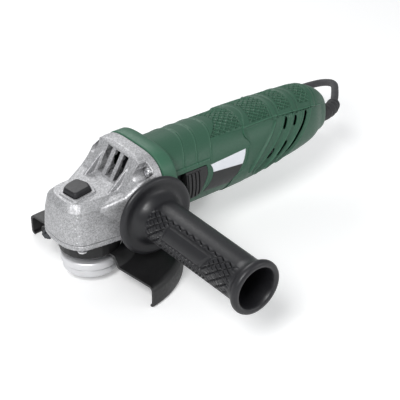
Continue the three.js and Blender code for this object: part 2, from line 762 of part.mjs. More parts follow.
const disc = (radius) => new THREE.Shape().absarc(0, 0, radius, 0, turn);

function lockSpring() {
  const bottom = lockFloor - lock.springDepth + clearance + lock.wire / 2;
  const top = headTop - lock.skirt + lock.capHollow - clearance - lock.wire / 2;
  const radius = lock.springBore - clearance - lock.wire / 2;
  const geometry = new THREE.ExtrudeGeometry(disc(lock.wire / 2), {
    steps: 8 * lock.coils,
    curveSegments: 3,
    bevelEnabled: false,
    extrudePath: new Helix(radius, top - bottom, lock.coils),
  });
  return place(geometry, alongZ, [lock.x, lock.y, bottom]);
}

// Guard

function guardBody() {
  const { radius, sheet, lowest, lip, shoulder, plateHeight, stepOuter, stepInner, rimHeight } = guard;
  const inner = clampOuter + clearance;
  const corner = [radius - shoulder, plateHeight - shoulder];
  const full = turnedZ([
    [inner, rimHeight - sheet],
    [stepInner - sheet, rimHeight - sheet],
    [stepOuter - sheet, plateHeight - sheet],
    ...arc(corner, shoulder - sheet, 90, 0, 2),
    [radius - sheet, lowest + 2 * sheet],
    [radius - 1.3 * sheet, lowest + sheet],
    [radius - lip, lowest + sheet],
    [radius - lip, lowest],
    [radius - sheet, lowest],
    [radius, lowest + sheet],
    ...arc(corner, shoulder, 0, 90, 3),
    [stepOuter, plateHeight],
    [stepInner, rimHeight],
    [inner, rimHeight],
  ], around.wide);
  const keep = block([-guard.setBack, 2 * radius], both(2 * radius), both(2 * radius));
  return full.intersect(keep.rotate([0, 0, guard.tilt]));
}

function clampBand() {
  const ring = turnedZ(tube(clampInner, clampOuter, clamp.bottom, clamp.top), around.full);
  const split = block([0, 2 * clampOuter], both(clamp.split / 2), [0, 2 * clamp.top]);
  const ears = mirrored((side) => block(
    [clampInner + bond, clamp.reach],
    span(side * earFace, (side * clamp.split) / 2),
    [clamp.bottom + clamp.inset, clamp.top - clamp.inset],
  ));
  const hole = postY(clampScrewX, clampMiddle, clampScrew.radius + clearance,
    both(earFace + overrun), around.tiny);
  return join([cut(ring, [split]), ...ears]).subtract(hole).rotate([0, 0, clamp.at]);
}

function clampScrewBody() {
  const face = earFace + clearance;
  const { radius, headRadius, headHeight, nutHeight, tip } = clampScrew;
  return revolve([
    [0, -face - headHeight],
    [headRadius, -face - headHeight],
    [headRadius, -face],
    [radius, -face],
    [radius, face + nutHeight + tip],
    [0, face + nutHeight + tip],
  ], alongY, [clampScrewX, 0, clampMiddle], around.tiny).rotate([0, 0, clamp.at]);
}

function clampNut() {
  const face = earFace + clearance;
  const { radius, nutRadius, nutHeight } = clampScrew;
  const profile = tube(radius + clearance, nutRadius, face, face + nutHeight);
  return revolve(profile, alongY, [clampScrewX, 0, clampMiddle], 6).rotate([0, 0, clamp.at]);
}

// Motor

function shaftBody() {
  const step = pinionRear + clearance;
  return turnedX([
    [0, gearInnerRadius + clearance],
    [shaft.stubRadius, gearInnerRadius + clearance],
    [shaft.stubRadius, step],
    [shaft.radius, step],
    [shaft.radius, rearBearingX - clearance],
    [shaft.rearRadius, rearBearingX - clearance],
    [shaft.rearRadius, rearBearingRear - clearance],
    [0, rearBearingRear - clearance],
  ], around.half);
}

// A drum with slots round it and a bore for the shaft, as an outline across the motor's axis.
// Wide teeth get a point in the middle, which keeps them round.
function slotted({ radius, slotDepth, slotShare }, count, wideTeeth) {
  const root = radius - slotDepth;
  const middle = wideTeeth ? [[(1 + slotShare) / 2, radius]] : [];
  const places = [[0, root], [slotShare, root], [slotShare, radius], ...middle, [1, radius]];
  const points = repeat(count, (i) => places.map(([share, r]) => (
    polar((turn * (i + share)) / count, r, 0).toArray())));
  const shape = polygon(points.flat());
  shape.holes.push(new THREE.Path().absarc(0, 0, shaft.radius + clearance, 0, turn, true));
  return shape;
}

function endWinding(from, to) {
  const inner = shaft.radius + clearance;
  return turnedX([
    [inner, from],
    [0.8 * winding.radius, from],
    [winding.radius, (from + to) / 2],
    [0.9 * winding.radius, to],
    [inner, to],
  ], around.small);
}

const fanFront = headRear + fan.gap;
const fanRear = fanFront + fan.plate + fan.bladeHeight;

function fanBody() {
  const bore = shaft.radius + clearance;
  const bladeFront = fanFront + fan.plate;
  const plateAndHub = turnedX([
    [bore, fanFront],
    [fan.radius, fanFront],
    [fan.radius, bladeFront],
    [fan.hubRadius, bladeFront],
    [fan.hubRadius, fanRear],
    [bore, fanRear],
  ], around.full);
  const { radius, hubRadius, bladeThickness: t } = fan;
  const blade = polygon([
    [hubRadius - bond, -t / 2],
    [0.6 * radius, 1.2 * t],
    [radius, 3.4 * t],
    [radius, 4.4 * t],
    [hubRadius - bond, t / 2],
  ]);
  const blades = repeat(fan.blades, (i) => (
    extrude(blade, alongX, fanFront, fanRear).rotate([(360 * i) / fan.blades, 0, 0])));
  const rim = motorPost(fan.radius, [fanFront, fanRear], around.full);
  return plateAndHub.add(join(blades).translate([0, 0, motorHeight]).intersect(rim));
}

function sector(inner, outer, centre, width) {
  const [from, to] = [turn * (centre - width / 2), turn * (centre + width / 2)];
  const shape = new THREE.Shape();
  shape.absarc(0, 0, outer, from, to, false);
  shape.absarc(0, 0, inner, to, from, true);
  return shape;
}
const coilSides = (half) => mirrored((side) => 0.25 + half + (side * poleShares.arc) / 2);

function statorCore() {
  const through = [stator.start - overrun, statorRear + overrun];
  const flats = block(through, both(stator.flat), [0, 2 * motorHeight]);
  const depth = stator.boreRadius + fieldCoil.thickness + clearance;
  const channels = [0, 0.5].flatMap((half) => coilSides(half)).map((at) => onMotorAxis(
    sector(stator.boreRadius - bond, depth, at, poleShares.coil), through, 3));
  const bore = motorPost(stator.boreRadius, through, around.full);
  const core = motorPost(stator.radius, [stator.start, statorRear], around.full);
  return cut(core.intersect(flats), [bore, ...channels]);
}

function fieldCoilBody(half) {
  const [inner, outer] = [stator.boreRadius + clearance, stator.boreRadius + fieldCoil.thickness];
  const ends = [stator.start - fieldCoil.overhang, statorRear + fieldCoil.overhang];
  const width = 0.86 * poleShares.coil;
  const sides = coilSides(half).map((at) => onMotorAxis(sector(inner, outer, at, width), ends, 2));
  const arcs = [[ends[0], stator.start - clearance], [statorRear + clearance, ends[1]]].map((reach) => (
    onMotorAxis(sector(inner, outer, 0.25 + half, poleShares.arc), reach, 4)));
  return join([...sides, ...arcs]);
}

function brushParts(side) {
  const middle = commutatorX + commutator.length / 2;
  const along = (half) => [middle - half, middle + half];
  const away = (from, to) => span(motorHeight + side * from, motorHeight + side * to);
  const contact = commutator.radius + clearance;
  const top = neck.radius - neck.wall - clearance;
  const [halfX, halfY] = [brush.width / 2, brush.depth / 2];
  const wall = clearance + brush.holderWall;
  const space = block(along(halfX + clearance), both(halfY + clearance), away(0, top - 2 * brush.holderWall));
  return {
    stick: block(along(halfX), both(halfY), away(contact, contact + brush.length)),
    holder: block(along(halfX + wall), both(halfY + wall), away(contact + brush.holderGap, 2 * top))
      .intersect(motorPost(top, along(2 * brush.width), around.full))
      .subtract(space),
  };
}

// Motor housing

// A section of the plastic body: rounder than a square, with its own upper and lower half height.
function bodyRing(x, halfWidth, up, down, drop, exponent) {
  const power = 2 / exponent;
  const swell = (value) => Math.sign(value) * Math.abs(value) ** power;
  return repeat(around.full, (i) => {
    const angle = (turn * i) / around.full;
    const z = (i < around.full / 2 ? up : down) * swell(Math.sin(angle));
    return new THREE.Vector3(x, halfWidth * swell(Math.cos(angle)), motorHeight - drop + z);
  });
}

function barrelSkin(from, to, grow) {
  const radius = barrel.radius + grow;
  return loft([from, to].map((x) => bodyRing(x, radius, radius, radius, 0, barrel.exponent)));
}

// The S-shaped seam in the side view: height and place along the body, as shares of the barrel's radius
const seamShares = [
  [-1.3, -0.5],
  [-0.8, -0.44],
  [-0.37, -0.34],
  [-0.08, -0.01],
  [0.34, 0.17],
  [0.46, 0.24],
  [0.67, 0.13],
  [0.87, 0.3],
  [1, 0.5],
  [1.3, 0.86],
];
const seamSteps = 15;

// Everything in front of the seam, or behind it, as a tool to cut with.
function seamKnife(direction) {
  const r = barrel.radius;
  const curve = new THREE.SplineCurve(seamShares.map(([z, x]) => new THREE.Vector2(
    motorHeight + z * r, seam.x + x * r + (direction * seam.gap) / 2)));
  const edge = curve.getPoints(seamSteps).map((point) => point.toArray());
  const far = seam.x - direction * 5 * r;
  return extrude(polygon([[edge[0][0], far], ...edge, [edge.at(-1)[0], far]]), alongY, -2 * r, 2 * r);
}

function collarRing(x, grow) {
  const outline = roundedRectangle(collar.halfWidth + grow, collar.halfHeight + grow, collar.corner, 5);
  return outline.map(([y, z]) => new THREE.Vector3(x, y, motorHeight + z));
}

function housingShell() {
  const r = barrel.radius;
  const front = loft([
    collarRing(collarFront, -collar.edge),
    collarRing(collarFront + collar.edge, 0),
    collarRing(barrelFront - collar.slope, 0),
    collarRing(barrelFront - 0.3 * collar.slope, -0.35 * collar.slope),
    collarRing(barrelFront, -1.3 * collar.slope),
  ]);
  const body = barrelSkin(barrelFront - bond, seam.x + r, 0).subtract(seamKnife(-1));
  return join([front, body, motorPost(neck.radius, [statorRear, neckRear], around.full)]);
}

function rodChannel() {
  const reach = rod.thickness / 2 + 2 * clearance;
  return block([stator.start, neckRear + overrun], [-rod.y - reach, -rod.y + reach],
    [motorHeight - rod.height / 2 - clearance, motorHeight + rod.height / 2 + clearance]);
}

function motorHousing() {
  const inner = barrel.radius - barrel.wall;
  const front = collarFront - overrun;
  const cup = turnedX(tube(cupBore, cupBore + neck.cupWall,
    rearBearingX - bond, rearBearingRear + bond), around.half);
  const airHoles = repeat(neck.airHoles, (i) => onMotorAxis(
    sector(cupBore + neck.cupWall + neck.airMargin, neck.radius - neck.wall - neck.airMargin,
      i / neck.airHoles, 0.62 / neck.airHoles), [rearBearingRear, neckRear + overrun], 2));
  const screwEnd = plate.front + flangeScrew.seat + flangeScrew.length + clearance;
  const screwHoles = flangeScrewPlaces().map(([y, z]) => postX(y, z, flangeScrew.shankRadius + clearance,
    [front, screwEnd], around.tiny));
  const shell = cut(housingShell(), [
    motorPost(collar.hollow, [front, barrelFront - collar.slope], around.full),
    motorPost(inner, [front, statorRear + clearance], around.full),
    motorPost(neck.radius - neck.wall, [stator.start, rearBearingRear + clearance], around.full),
    postZ(fixing.x, 0, fixing.shankRadius + clearance,
      [0, motorHeight - cupBore - 2 * neck.cupWall], around.tiny),
    sliderOpening(),
    rodChannel(),
    ...airHoles,
    ...screwHoles,
  ]);
  return shell.add(cup);
}

// Slide switch

// The slider in the side view. It grows all round, and further at its front where it travels.
function sliderPrism(grow, ahead) {
  const h = motorHeight;
  const front = slider.front - grow - ahead;
  const outline = rounded([
    [h + slider.top + grow, front],
    [h + slider.top + grow, slider.topRear + grow],
    [h + slider.bend, slider.bendRear + grow],
    [h + slider.low - grow / 2, slider.lowRear + grow],
    [h + slider.foot - grow, slider.footRear + grow / 2],
    [h + slider.foot - grow, front],
  ], slider.corner, 2);
  return extrude(polygon(outline), alongY, -2 * barrel.radius, -stator.flat - clearance);
}
const sliderOpening = () => sliderPrism(slider.gap, slider.travel + clearance);
const sliderSkin = (proud) => barrelSkin(slider.front - overrun, slider.bendRear + overrun, proud);

function sliderBody() {
  const key = sliderPrism(0, 0).intersect(sliderSkin(slider.proud));
  const pitch = (slider.lowRear - slider.front) / (slider.ribs - 0.4);
  const heights = [motorHeight + slider.foot + slider.ribMargin, motorHeight + slider.top - slider.ribMargin];
  const bars = repeat(slider.ribs, (i) => {
    const x = slider.front + (i + 0.62) * pitch;
    return block([x - slider.ribWidth / 2, x + slider.ribWidth / 2],
      [-2 * barrel.radius, -stator.flat], heights);
  });
  const ribSkin = sliderSkin(slider.proud + slider.ribHeight);
  const ribs = join(bars).intersect(ribSkin).intersect(sliderPrism(-slider.gap, 0));
  const slot = block([slider.topRear - rod.grip - clearance, slider.topRear + overrun],
    [-rod.y - rod.thickness / 2 - clearance, -stator.flat],
    [motorHeight - rod.height / 2 - clearance, motorHeight + rod.height / 2 + clearance]);
  return key.add(ribs).subtract(slot);
}

function switchRod() {
  const armFront = neckRear + slider.travel + 2 * clearance;
  const heights = [motorHeight - rod.height / 2, motorHeight + rod.height / 2];
  const outer = -rod.y - rod.thickness / 2;
  const bar = block([slider.topRear - rod.grip, armFront + rod.arm], [outer, outer + rod.thickness], heights);
  const arm = block([armFront, armFront + rod.arm], [outer, -switchBody.halfWidth - 2 * clearance], heights);
  return bar.add(arm);
}

// Rear cover

// Sections of the rear cover: place as a share of its length; then half width, upper and lower half height
// and drop, as shares of the barrel's radius
const coverShares = [
  [-0.16, 1, 1.005, 0.995, 0],
  [0.2, 1.015, 1.025, 0.98, 0],
  [0.4, 1, 1.04, 0.88, 0],
  [0.6, 0.95, 1.03, 0.78, 0],
  [0.76, 0.87, 0.98, 0.7, 0.01],
  [0.88, 0.76, 0.87, 0.62, 0.05],
  [0.96, 0.62, 0.7, 0.52, 0.11],
  [1, 0.44, 0.5, 0.4, 0.16],
];
const coverExponent = 2.3;

function coverSkin(inset) {
  const r = barrel.radius;
  return loft(coverShares.map(([share, halfWidth, up, down, drop], i) => {
    const x = THREE.MathUtils.lerp(seam.x, tail.x, share) - (i > coverShares.length - 3 ? inset : 0);
    const exponent = i ? coverExponent : barrel.exponent;
    return bodyRing(x, halfWidth * r - inset, up * r - inset, down * r - inset, drop * r, exponent);
  }));
}

// The first vent channel in the side view: start, pull and end of its curve, as places behind the seam
// and heights over the motor's axis, in shares of the barrel's radius; and the stretches where each is open
const ventShares = [[1.51, 0.77], [1.47, 0.08], [0.81, -0.31]];
const openShares = [[[0, 0.36], [0.7, 1]], [[0, 0.3], [0.72, 1]], [[0, 1]]];

// A band of even width along a stretch of a curve, as a closed shape.
function band(curve, from, to, width) {
  const pieces = Math.max(1, Math.round(4 * (to - from)));
  const edge = (side) => repeat(pieces + 1, (i) => {
    const share = THREE.MathUtils.lerp(from, to, i / pieces);
    const ahead = curve.getTangent(share);
    const normal = new THREE.Vector2(-ahead.y, ahead.x);
    return curve.getPoint(share).addScaledVector(normal, (side * width) / 2).toArray();
  });
  return polygon([...edge(1), ...edge(-1).reverse()]);
}

function ventTools() {
  const r = barrel.radius;
  const sides = (shape) => mirrored((side) => (
    extrude(shape, alongY, ...span(side * 0.3 * r, side * 1.5 * r))));
  return openShares.flatMap((stretches, i) => {
    const curve = new THREE.QuadraticBezierCurve(...ventShares.map(([x, z]) => new THREE.Vector2(
      motorHeight + z * r, seam.x + x * r + i * vent.pitch)));
    return stretches.flatMap(([from, to]) => sides(band(curve, from, to, vent.width)));
  });
}

function rearCover() {
  const outer = coverSkin(0);
  const screwSeat = motorHeight - neck.radius - clearance - fixing.cover;
  const saddleTop = tailHeight - relief.tailRadius - clearance;
  const saddle = block([cordGrip.x - cordGrip.saddle / 2, cordGrip.x + cordGrip.saddle / 2],
    both(cordGrip.halfWidth + bond), [0, saddleTop]).intersect(outer);
  const shell = cut(outer, [coverSkin(tail.wall), ...ventTools()]).add(saddle);
  return cut(shell, [
    motorPost(neck.radius + clearance, [0, neckRear + clearance], around.full),
    postX(0, tailHeight, relief.rootRadius + clearance, [tail.x - relief.collarLength, tail.x + overrun]),
    seamKnife(1),
    postZ(fixing.x, 0, fixing.shankRadius + clearance, [0, motorHeight], around.tiny),
    postZ(fixing.x, 0, fixing.headRadius + clearance, [0, screwSeat], around.small),
  ]);
}

function fixingScrew() {
  const seat = motorHeight - neck.radius - clearance - fixing.cover;
  return revolve(screwProfile(fixing), alongZ, [fixing.x, 0, seat], around.tiny);
}

function cordClamp() {
  const bottom = tailHeight - relief.tailRadius;
  const reach = [cordGrip.x - cordGrip.length / 2, cordGrip.x + cordGrip.length / 2];
  const bar = block(reach, both(cordGrip.halfWidth), [bottom, bottom + cordGrip.height]);
  return bar.subtract(postX(0, tailHeight, relief.tailRadius + clearance, [0, tail.x], around.small));
}

// Strain relief, cord, coil and plug

// A round or rounded section across a level direction.
function crossSection(centre, ahead, halfWidth, halfHeight, count, power = 1) {
  const side = new THREE.Vector3(-ahead.y, ahead.x, 0).normalize();
  const swell = (value) => Math.sign(value) * Math.abs(value) ** power;
  return repeat(count, (i) => {
    const angle = (turn * i) / count;
    return centre.clone()
      .addScaledVector(side, halfWidth * swell(Math.cos(angle)))
      .addScaledVector(unit.z, halfHeight * swell(Math.sin(angle)));
  });
}

// The relief's centre line: straight through the tail, then bent sideways.
function reliefCentre(distance) {
  const angle = Math.min(Math.max(0, distance) / relief.bendRadius, THREE.MathUtils.degToRad(relief.bend));
  const beyond = Math.max(0, distance) - angle * relief.bendRadius;
  const ahead = new THREE.Vector3(Math.cos(angle), Math.sin(angle), 0);
  const centre = new THREE.Vector3(tail.x + Math.min(0, distance), 0, tailHeight)
    .addScaledVector(unit.x, relief.bendRadius * Math.sin(angle))
    .addScaledVector(unit.y, relief.bendRadius * (1 - Math.cos(angle)));
  return { ahead, centre: centre.addScaledVector(ahead, beyond) };
}
const reliefLength = THREE.MathUtils.degToRad(relief.bend) * relief.bendRadius;

function reliefBody() {
  const { tailRadius, tailLength, collarRadius, collarLength } = relief;
  const { rootRadius, tipRadius, ribDepth, ribs } = relief;
  const inside = -tail.wall - clearance;
  const stations = [
    [-tailLength, tailRadius],
    [inside - collarLength, tailRadius],
    [inside - collarLength, collarRadius],
    [inside, collarRadius],
    [inside, rootRadius],
    [0, rootRadius],
  ];
  for (let rib = 0; rib < ribs; rib += 1) {
    [0.3, 0.4, 0.9, 1].forEach((share, i) => {
      const along = (rib + share) / ribs;
      const depth = i === 1 || i === 2 ? ribDepth : 0;
      stations.push([along * reliefLength, THREE.MathUtils.lerp(rootRadius, tipRadius, along) - depth]);
    });
  }
  return loft(stations.map(([distance, radius]) => {
    const { centre, ahead } = reliefCentre(distance);
    return crossSection(centre, ahead, radius, radius, relief.sides);
  }));
}

// The cord's free route between the relief and the coil, chosen by hand
const cordRoute = [
  [273, 27.5, 46],
  [284, 39, 43],
  [292, 52, 38],
  [296.5, 67, 31],
  [295.5, 82.5, 22.5],
  [288.5, 96.5, 14],
  [277, 107.5, 6.5],
  [262, 114.5, 0.8],
  [245, 118.2, -1.9],
  [226, 119.8, -2.2],
  [196, 120.6, -2.2],
  [162, 121.4, -2.2],
  [130, 121.8, -2.2],
];

// The coil's centre line: it spirals in on the floor, climbs a layer while it turns back,
// and spirals out on top.
const coilFloor = guard.lowest + cord.radius + coil.lift;
const coilMiddle = turn / 4 + (turn * coil.turns) / 2;

function coilCentre(turns) {
  const climb = THREE.MathUtils.smoothstep(turns, -0.25, 0.25);
  const point = polar(coilMiddle + turn * turns, coil.innerRadius + Math.abs(turns) * coil.spacing,
    coilFloor + climb * coil.spacing);
  return point.add(new THREE.Vector3(coil.x, coil.y, 0));
}
const coilHeading = (turns) => polar(coilMiddle + turn * (turns + 0.25), 1, 0);

function coilPath() {
  const half = coil.turns / 2;
  const path = repeat(Math.round(coil.turns * coil.steps) + 1, (i) => {
    const turns = -half + i / coil.steps;
    return { centre: coilCentre(turns), ahead: coilHeading(turns) };
  });
  const lead = ({ centre, ahead }, reach) => (
    { centre: centre.clone().addScaledVector(ahead, reach), ahead });
  return [lead(path[0], -coil.leadIn), ...path, lead(path.at(-1), coil.leadOut)];
}

// Prints the smallest gap between one turn of the coil and the next ones.
function reportCoilGap(path) {
  let least = Infinity;
  path.forEach(({ centre }, i) => {
    for (let k = i + coil.steps / 2; k < path.length; k += 1) {
      least = Math.min(least, centre.distanceTo(path[k].centre) - 2 * cord.radius);
    }
  });
  console.log(`least gap between the coil's turns: ${least.toFixed(2)} mm`);
}

function cordBody(end) {
  const start = [clearance, cord.straight].map((reach) => {
    const { centre, ahead } = reliefCentre(reliefLength);
    return centre.addScaledVector(ahead, reach);
  });
  const ending = [cord.straight, clearance].map((reach) => (
    end.centre.clone().addScaledVector(end.ahead, -reach)));
  const route = [...start, ...cordRoute.map((point) => new THREE.Vector3(...point)), ...ending];
  const path = new THREE.CatmullRomCurve3(route, false, 'centripetal');
  const geometry = new THREE.ExtrudeGeometry(disc(cord.radius), {
    steps: cord.steps,
    curveSegments: cord.sides / 2,
    bevelEnabled: false,
    extrudePath: path,
  });
  return { body: solid(geometry), length: path.getLength() };
}

// Sections of the plug: place as a share of its length, and how far the neck has grown into the body
const plugShares = [[0, 0], [0.3, 0], [0.36, 0.18], [0.52, 0.7], [0.66, 1], [0.94, 1], [1, 1]];

function plugSolids({ centre, ahead }) {
  const start = centre.clone().addScaledVector(ahead, clearance);
  const along = (reach) => start.clone().addScaledVector(ahead, reach);
  const rings = plugShares.map(([share, grown], i) => {
    const base = THREE.MathUtils.lerp(plug.neckRadius, plug.neckEnd, Math.min(1, share / 0.3));
    const inset = i === plugShares.length - 1 ? plug.faceInset : 0;
    return crossSection(along(share * plug.length), ahead,
      THREE.MathUtils.lerp(base, plug.halfWidth, grown) - inset,
      THREE.MathUtils.lerp(base, plug.halfHeight, grown) - inset, around.small, grown ? 0.75 : 1);
  });
  const side = new THREE.Vector3(-ahead.y, ahead.x, 0);
  const frame = new THREE.Matrix4().makeBasis(side, unit.z, ahead);
  const pinAt = (half) => along(plug.length).addScaledVector(side, (half * plugPin.spacing) / 2).toArray();
  const holes = mirrored((half) => cylinder(frame, pinAt(half), plugPin.radius + clearance,
    [-plugPin.buried - clearance, overrun], around.tiny));
  const pins = mirrored((half) => cylinder(frame, pinAt(half), plugPin.radius,
    [-plugPin.buried, plugPin.length], around.tiny));
  return { body: cut(loft(rings), holes), pins };
}

// Side handle

function handleBody() {
  const start = -handleHole.reach - clearance;
  const g = grip;
  return revolve([
    [handleHole.radius, 0],
    [g.bossRadius, 0],
    [g.discRadius - g.discAt / 2, g.discAt / 2],
    [g.discRadius, g.discAt],
    [g.discRadius - g.discAt / 2, g.discEdge],
    [g.dishRadius, g.dishAt],
    [g.neckRadius, g.neckAt],
    [g.tubeRadius, g.tubeStart],
    [g.tubeEndRadius, g.tubeEnd],
    [g.flareRadius, g.flareAt],
    [g.ringRadius, g.ringAt],
    [g.ringRadius, g.length - g.mouthDepth],
    [g.ringRadius - g.mouthDepth, g.length],
    [g.mouthRadius, g.length],
    [g.mouthRadius, g.length - g.mouthDepth],
    [g.boreRadius, g.flareAt],
    [g.boreEndRadius, g.boreFrom],
    [0, g.boreFrom],
    [0, g.insertDepth],
    [handleHole.radius, g.insertDepth],
  ], outwards, [handleHole.x, start, handleHeight], around.full);
}

function studBody() {
  const [near, far] = [clearance - handleHole.depth, clearance + stud.inHandle];
  return revolve([
    [0, near],
    [stud.radius - stud.chamfer, near],
    [stud.radius, near + stud.chamfer],
    [stud.radius, far - stud.chamfer],
    [stud.radius - stud.chamfer, far],
    [0, far],
  ], outwards, [handleHole.x, -handleHole.reach, handleHeight], around.small);
}

// Assembly
add('gear_housing', gearHousing(), castAluminium);
add('bearing_cover', bearingCover(), castAluminium);
addHeadScrews();
add('spindle', spindleBody(), brightSteel);
add('bevel_gear', bevelGearBody(), darkSteel);
add('spindle_bearing',
  turnedZ(shift(bearingProfile(spindleBearing), 0, bearingBottom), around.half), brightSteel);
add('upper_bushing', turnedZ(tube(bushing.innerRadius, bushing.outerRadius, bushingBottom, bushingTop),
  around.half), brass);
const sealTube = tube(spindle.shoulderRadius + clearance, spindleBearing.outerRadius, sealBottom, sealTop);
add('dust_seal', turnedZ(sealTube, around.half), blackRubber);
add('inner_flange', innerFlange(), brightSteel);
add('outer_nut', outerNut(), brightSteel);

add('lock_button', lockCap(), blackPlastic);
add('lock_pin', lockPin(), brightSteel);
add('lock_spring', lockSpring(), brightSteel);

add('guard', guardBody(), blackPaint);
add('guard_clamp', clampBand(), blackPaint);
add('clamp_screw', clampScrewBody(), darkSteel);
add('clamp_nut', clampNut(), darkSteel);

add('armature_shaft', shaftBody(), brightSteel);
add('pinion', pinionBody(), darkSteel);
add('front_bearing',
  turnedX(shift(bearingProfile(frontBearing), 0, frontBearingX), around.half), brightSteel);
add('fan', fanBody(), whitePlastic);
add('air_baffle', turnedX(tube(baffle.boreRadius, barrel.radius - barrel.wall - clearance,
  fanRear + baffle.gap, fanRear + baffle.gap + baffle.thickness), around.half), blackPlastic);
add('armature_core',
  onMotorAxis(slotted(armature, armature.slots, true), [stator.start, statorRear], 12), darkSteel);
add('winding_front', endWinding(stator.start - clearance - winding.length, stator.start - clearance), copper);
add('winding_rear', endWinding(statorRear + clearance, statorRear + clearance + winding.length), copper);
add('commutator',
  onMotorAxis(slotted(commutator, commutator.bars, false), [commutatorX, commutatorRear], 12), copper);
add('stator_core', statorCore(), darkSteel);
add('field_coil_upper', fieldCoilBody(0), copper);
add('field_coil_lower', fieldCoilBody(0.5), copper);
for (const [name, side] of [['upper', 1], ['lower', -1]]) {
  const { stick, holder } = brushParts(side);
  add(`brush_${name}`, stick, carbon);
  add(`brush_holder_${name}`, holder, brass);
}
add('rear_bearing', turnedX(shift(bearingProfile(rearBearing), 0, rearBearingX), around.half), brightSteel);
add('bearing_sleeve', turnedX(tube(rearBearing.outerRadius + clearance, cupBore - clearance,
  rearBearingX, rearBearingRear), around.half), blackRubber);

add('motor_housing', motorHousing(), greenPlastic);
add('rear_cover', rearCover(), greenPlastic);
add('cover_fixing_screw', fixingScrew(), brightSteel);
add('switch_slider', sliderBody(), blackPlastic);
add('switch_rod', switchRod(), whitePlastic);
add('switch_body', block([neckRear + clearance, neckRear + clearance + switchBody.length],
  both(switchBody.halfWidth), [motorHeight - switchBody.height, motorHeight]), blackPlastic);
add('capacitor', postX(0, motorHeight + capacitor.rise, capacitor.radius,
  [neckRear + clearance, neckRear + clearance + capacitor.length], around.small), whitePlastic);
add('cord_clamp', cordClamp(), blackPlastic);

add('side_handle', handleBody(), blackPlastic);
add('handle_stud', studBody(), brightSteel);

const coilLine = coilPath();
const cordLine = cordBody(coilLine[0]);
const plugLine = plugSolids(coilLine.at(-1));
reportCoilGap(coilLine);
const coilLength = coilLine.slice(1).reduce((sum, { centre }, i) => (
  sum + centre.distanceTo(coilLine[i].centre)), 0);
console.log(`length of the cord: ${Math.round(cordLine.length + coilLength)} mm`);
add('strain_relief', reliefBody(), blackRubber);
add('cord', cordLine.body, blackRubber);
add('cord_coil', loft(coilLine.map(({ centre, ahead }) => crossSection(
  centre, ahead, cord.radius, cord.radius, coil.sides))), blackRubber);
add('plug', plugLine.body, blackRubber);
plugLine.pins.forEach((pin, i) => add(`plug_pin_${i + 1}`, pin, brightSteel));

export default part;
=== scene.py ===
"""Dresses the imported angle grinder: fine cast, turned and moulded pieces over the CAD frame.

Every form is drawn in millimetres in the frame of the CAD (+Z up along the spindle, +X towards
the tail) and turned into metres when its mesh is made.
"""
import math

import bmesh
import bpy
import numpy as np
from mathutils import Matrix, Vector


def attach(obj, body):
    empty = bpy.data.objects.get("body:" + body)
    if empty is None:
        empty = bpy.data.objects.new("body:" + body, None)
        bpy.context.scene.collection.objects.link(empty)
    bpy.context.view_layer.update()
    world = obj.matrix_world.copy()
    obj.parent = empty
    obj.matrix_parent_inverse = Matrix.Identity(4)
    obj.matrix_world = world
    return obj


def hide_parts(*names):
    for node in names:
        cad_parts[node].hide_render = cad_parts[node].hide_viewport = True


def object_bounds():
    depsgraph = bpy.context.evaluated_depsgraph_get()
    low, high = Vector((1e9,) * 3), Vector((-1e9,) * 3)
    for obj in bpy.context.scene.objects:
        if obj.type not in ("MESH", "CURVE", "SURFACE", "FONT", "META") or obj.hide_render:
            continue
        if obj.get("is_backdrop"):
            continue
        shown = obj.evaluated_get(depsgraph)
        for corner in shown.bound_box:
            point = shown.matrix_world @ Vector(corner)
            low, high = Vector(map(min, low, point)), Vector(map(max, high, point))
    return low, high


bl_info = {
    "name": "Angle grinder",
    "version": (1, 0, 0),
    "blender": (4, 5, 0),
    "location": "3D View > Sidebar > Grinder",
    "description": "Dresses the packed angle grinder with its cast, turned and moulded pieces",
    "category": "Object",
}

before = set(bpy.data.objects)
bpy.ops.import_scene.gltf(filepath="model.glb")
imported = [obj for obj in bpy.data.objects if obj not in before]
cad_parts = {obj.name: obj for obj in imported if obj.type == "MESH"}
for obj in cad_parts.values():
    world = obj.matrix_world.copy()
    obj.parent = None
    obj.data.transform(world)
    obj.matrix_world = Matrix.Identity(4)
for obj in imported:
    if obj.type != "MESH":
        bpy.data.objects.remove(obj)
CAD_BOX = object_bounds()
MM = 0.001
FULL = 2 * math.pi


# Sizes and colours that a user would change

def length(name, description, default):
    return bpy.props.FloatProperty(name=name, description=description, default=default, unit="LENGTH")


def colour(name, description, code):
    """A colour property whose default is an sRGB hex code."""
    return bpy.props.FloatVectorProperty(
        name=name, description=description, default=linear(code), subtype="COLOR", size=3, min=0, max=1)


def linear(code):
    parts = [int(code[i:i + 2], 16) / 255 for i in (0, 2, 4)]
    return tuple(v / 12.92 if v <= 0.04045 else ((v + 0.055) / 1.055) ** 2.4 for v in parts)


class GrinderSizes(bpy.types.PropertyGroup):
    motor_height: length("Motor height", "Height of the motor's axis over the spindle's lower end", 0.0527)
    barrel_radius: length("Barrel radius", "Half width of the plastic barrel", 0.0292)
    barrel_wall: length("Barrel wall", "Wall of the motor housing's barrel", 0.0019)
    seam_place: length("Seam place", "Where the S-shaped seam crosses the motor's axis", 0.120)
    tail_end: length("Tail end", "Place of the rear cover's end face", 0.231)
    tail_height: length("Tail height", "Height of the cord's exit", 0.0473)
    guard_radius: length("Guard radius", "Outer radius of the guard's skirt", 0.067)
    handle_place: length("Handle place", "Place of the side handle's axis along the body", 0.0284)
    handle_height: length("Handle height", "Height of the side handle's axis", 0.0497)
    cord_diameter: length("Cord diameter", "Outer diameter of the mains cord", 0.0065)
    floor_level: length("Floor level", "Height of the surface that the grinder lies on", -0.0055)


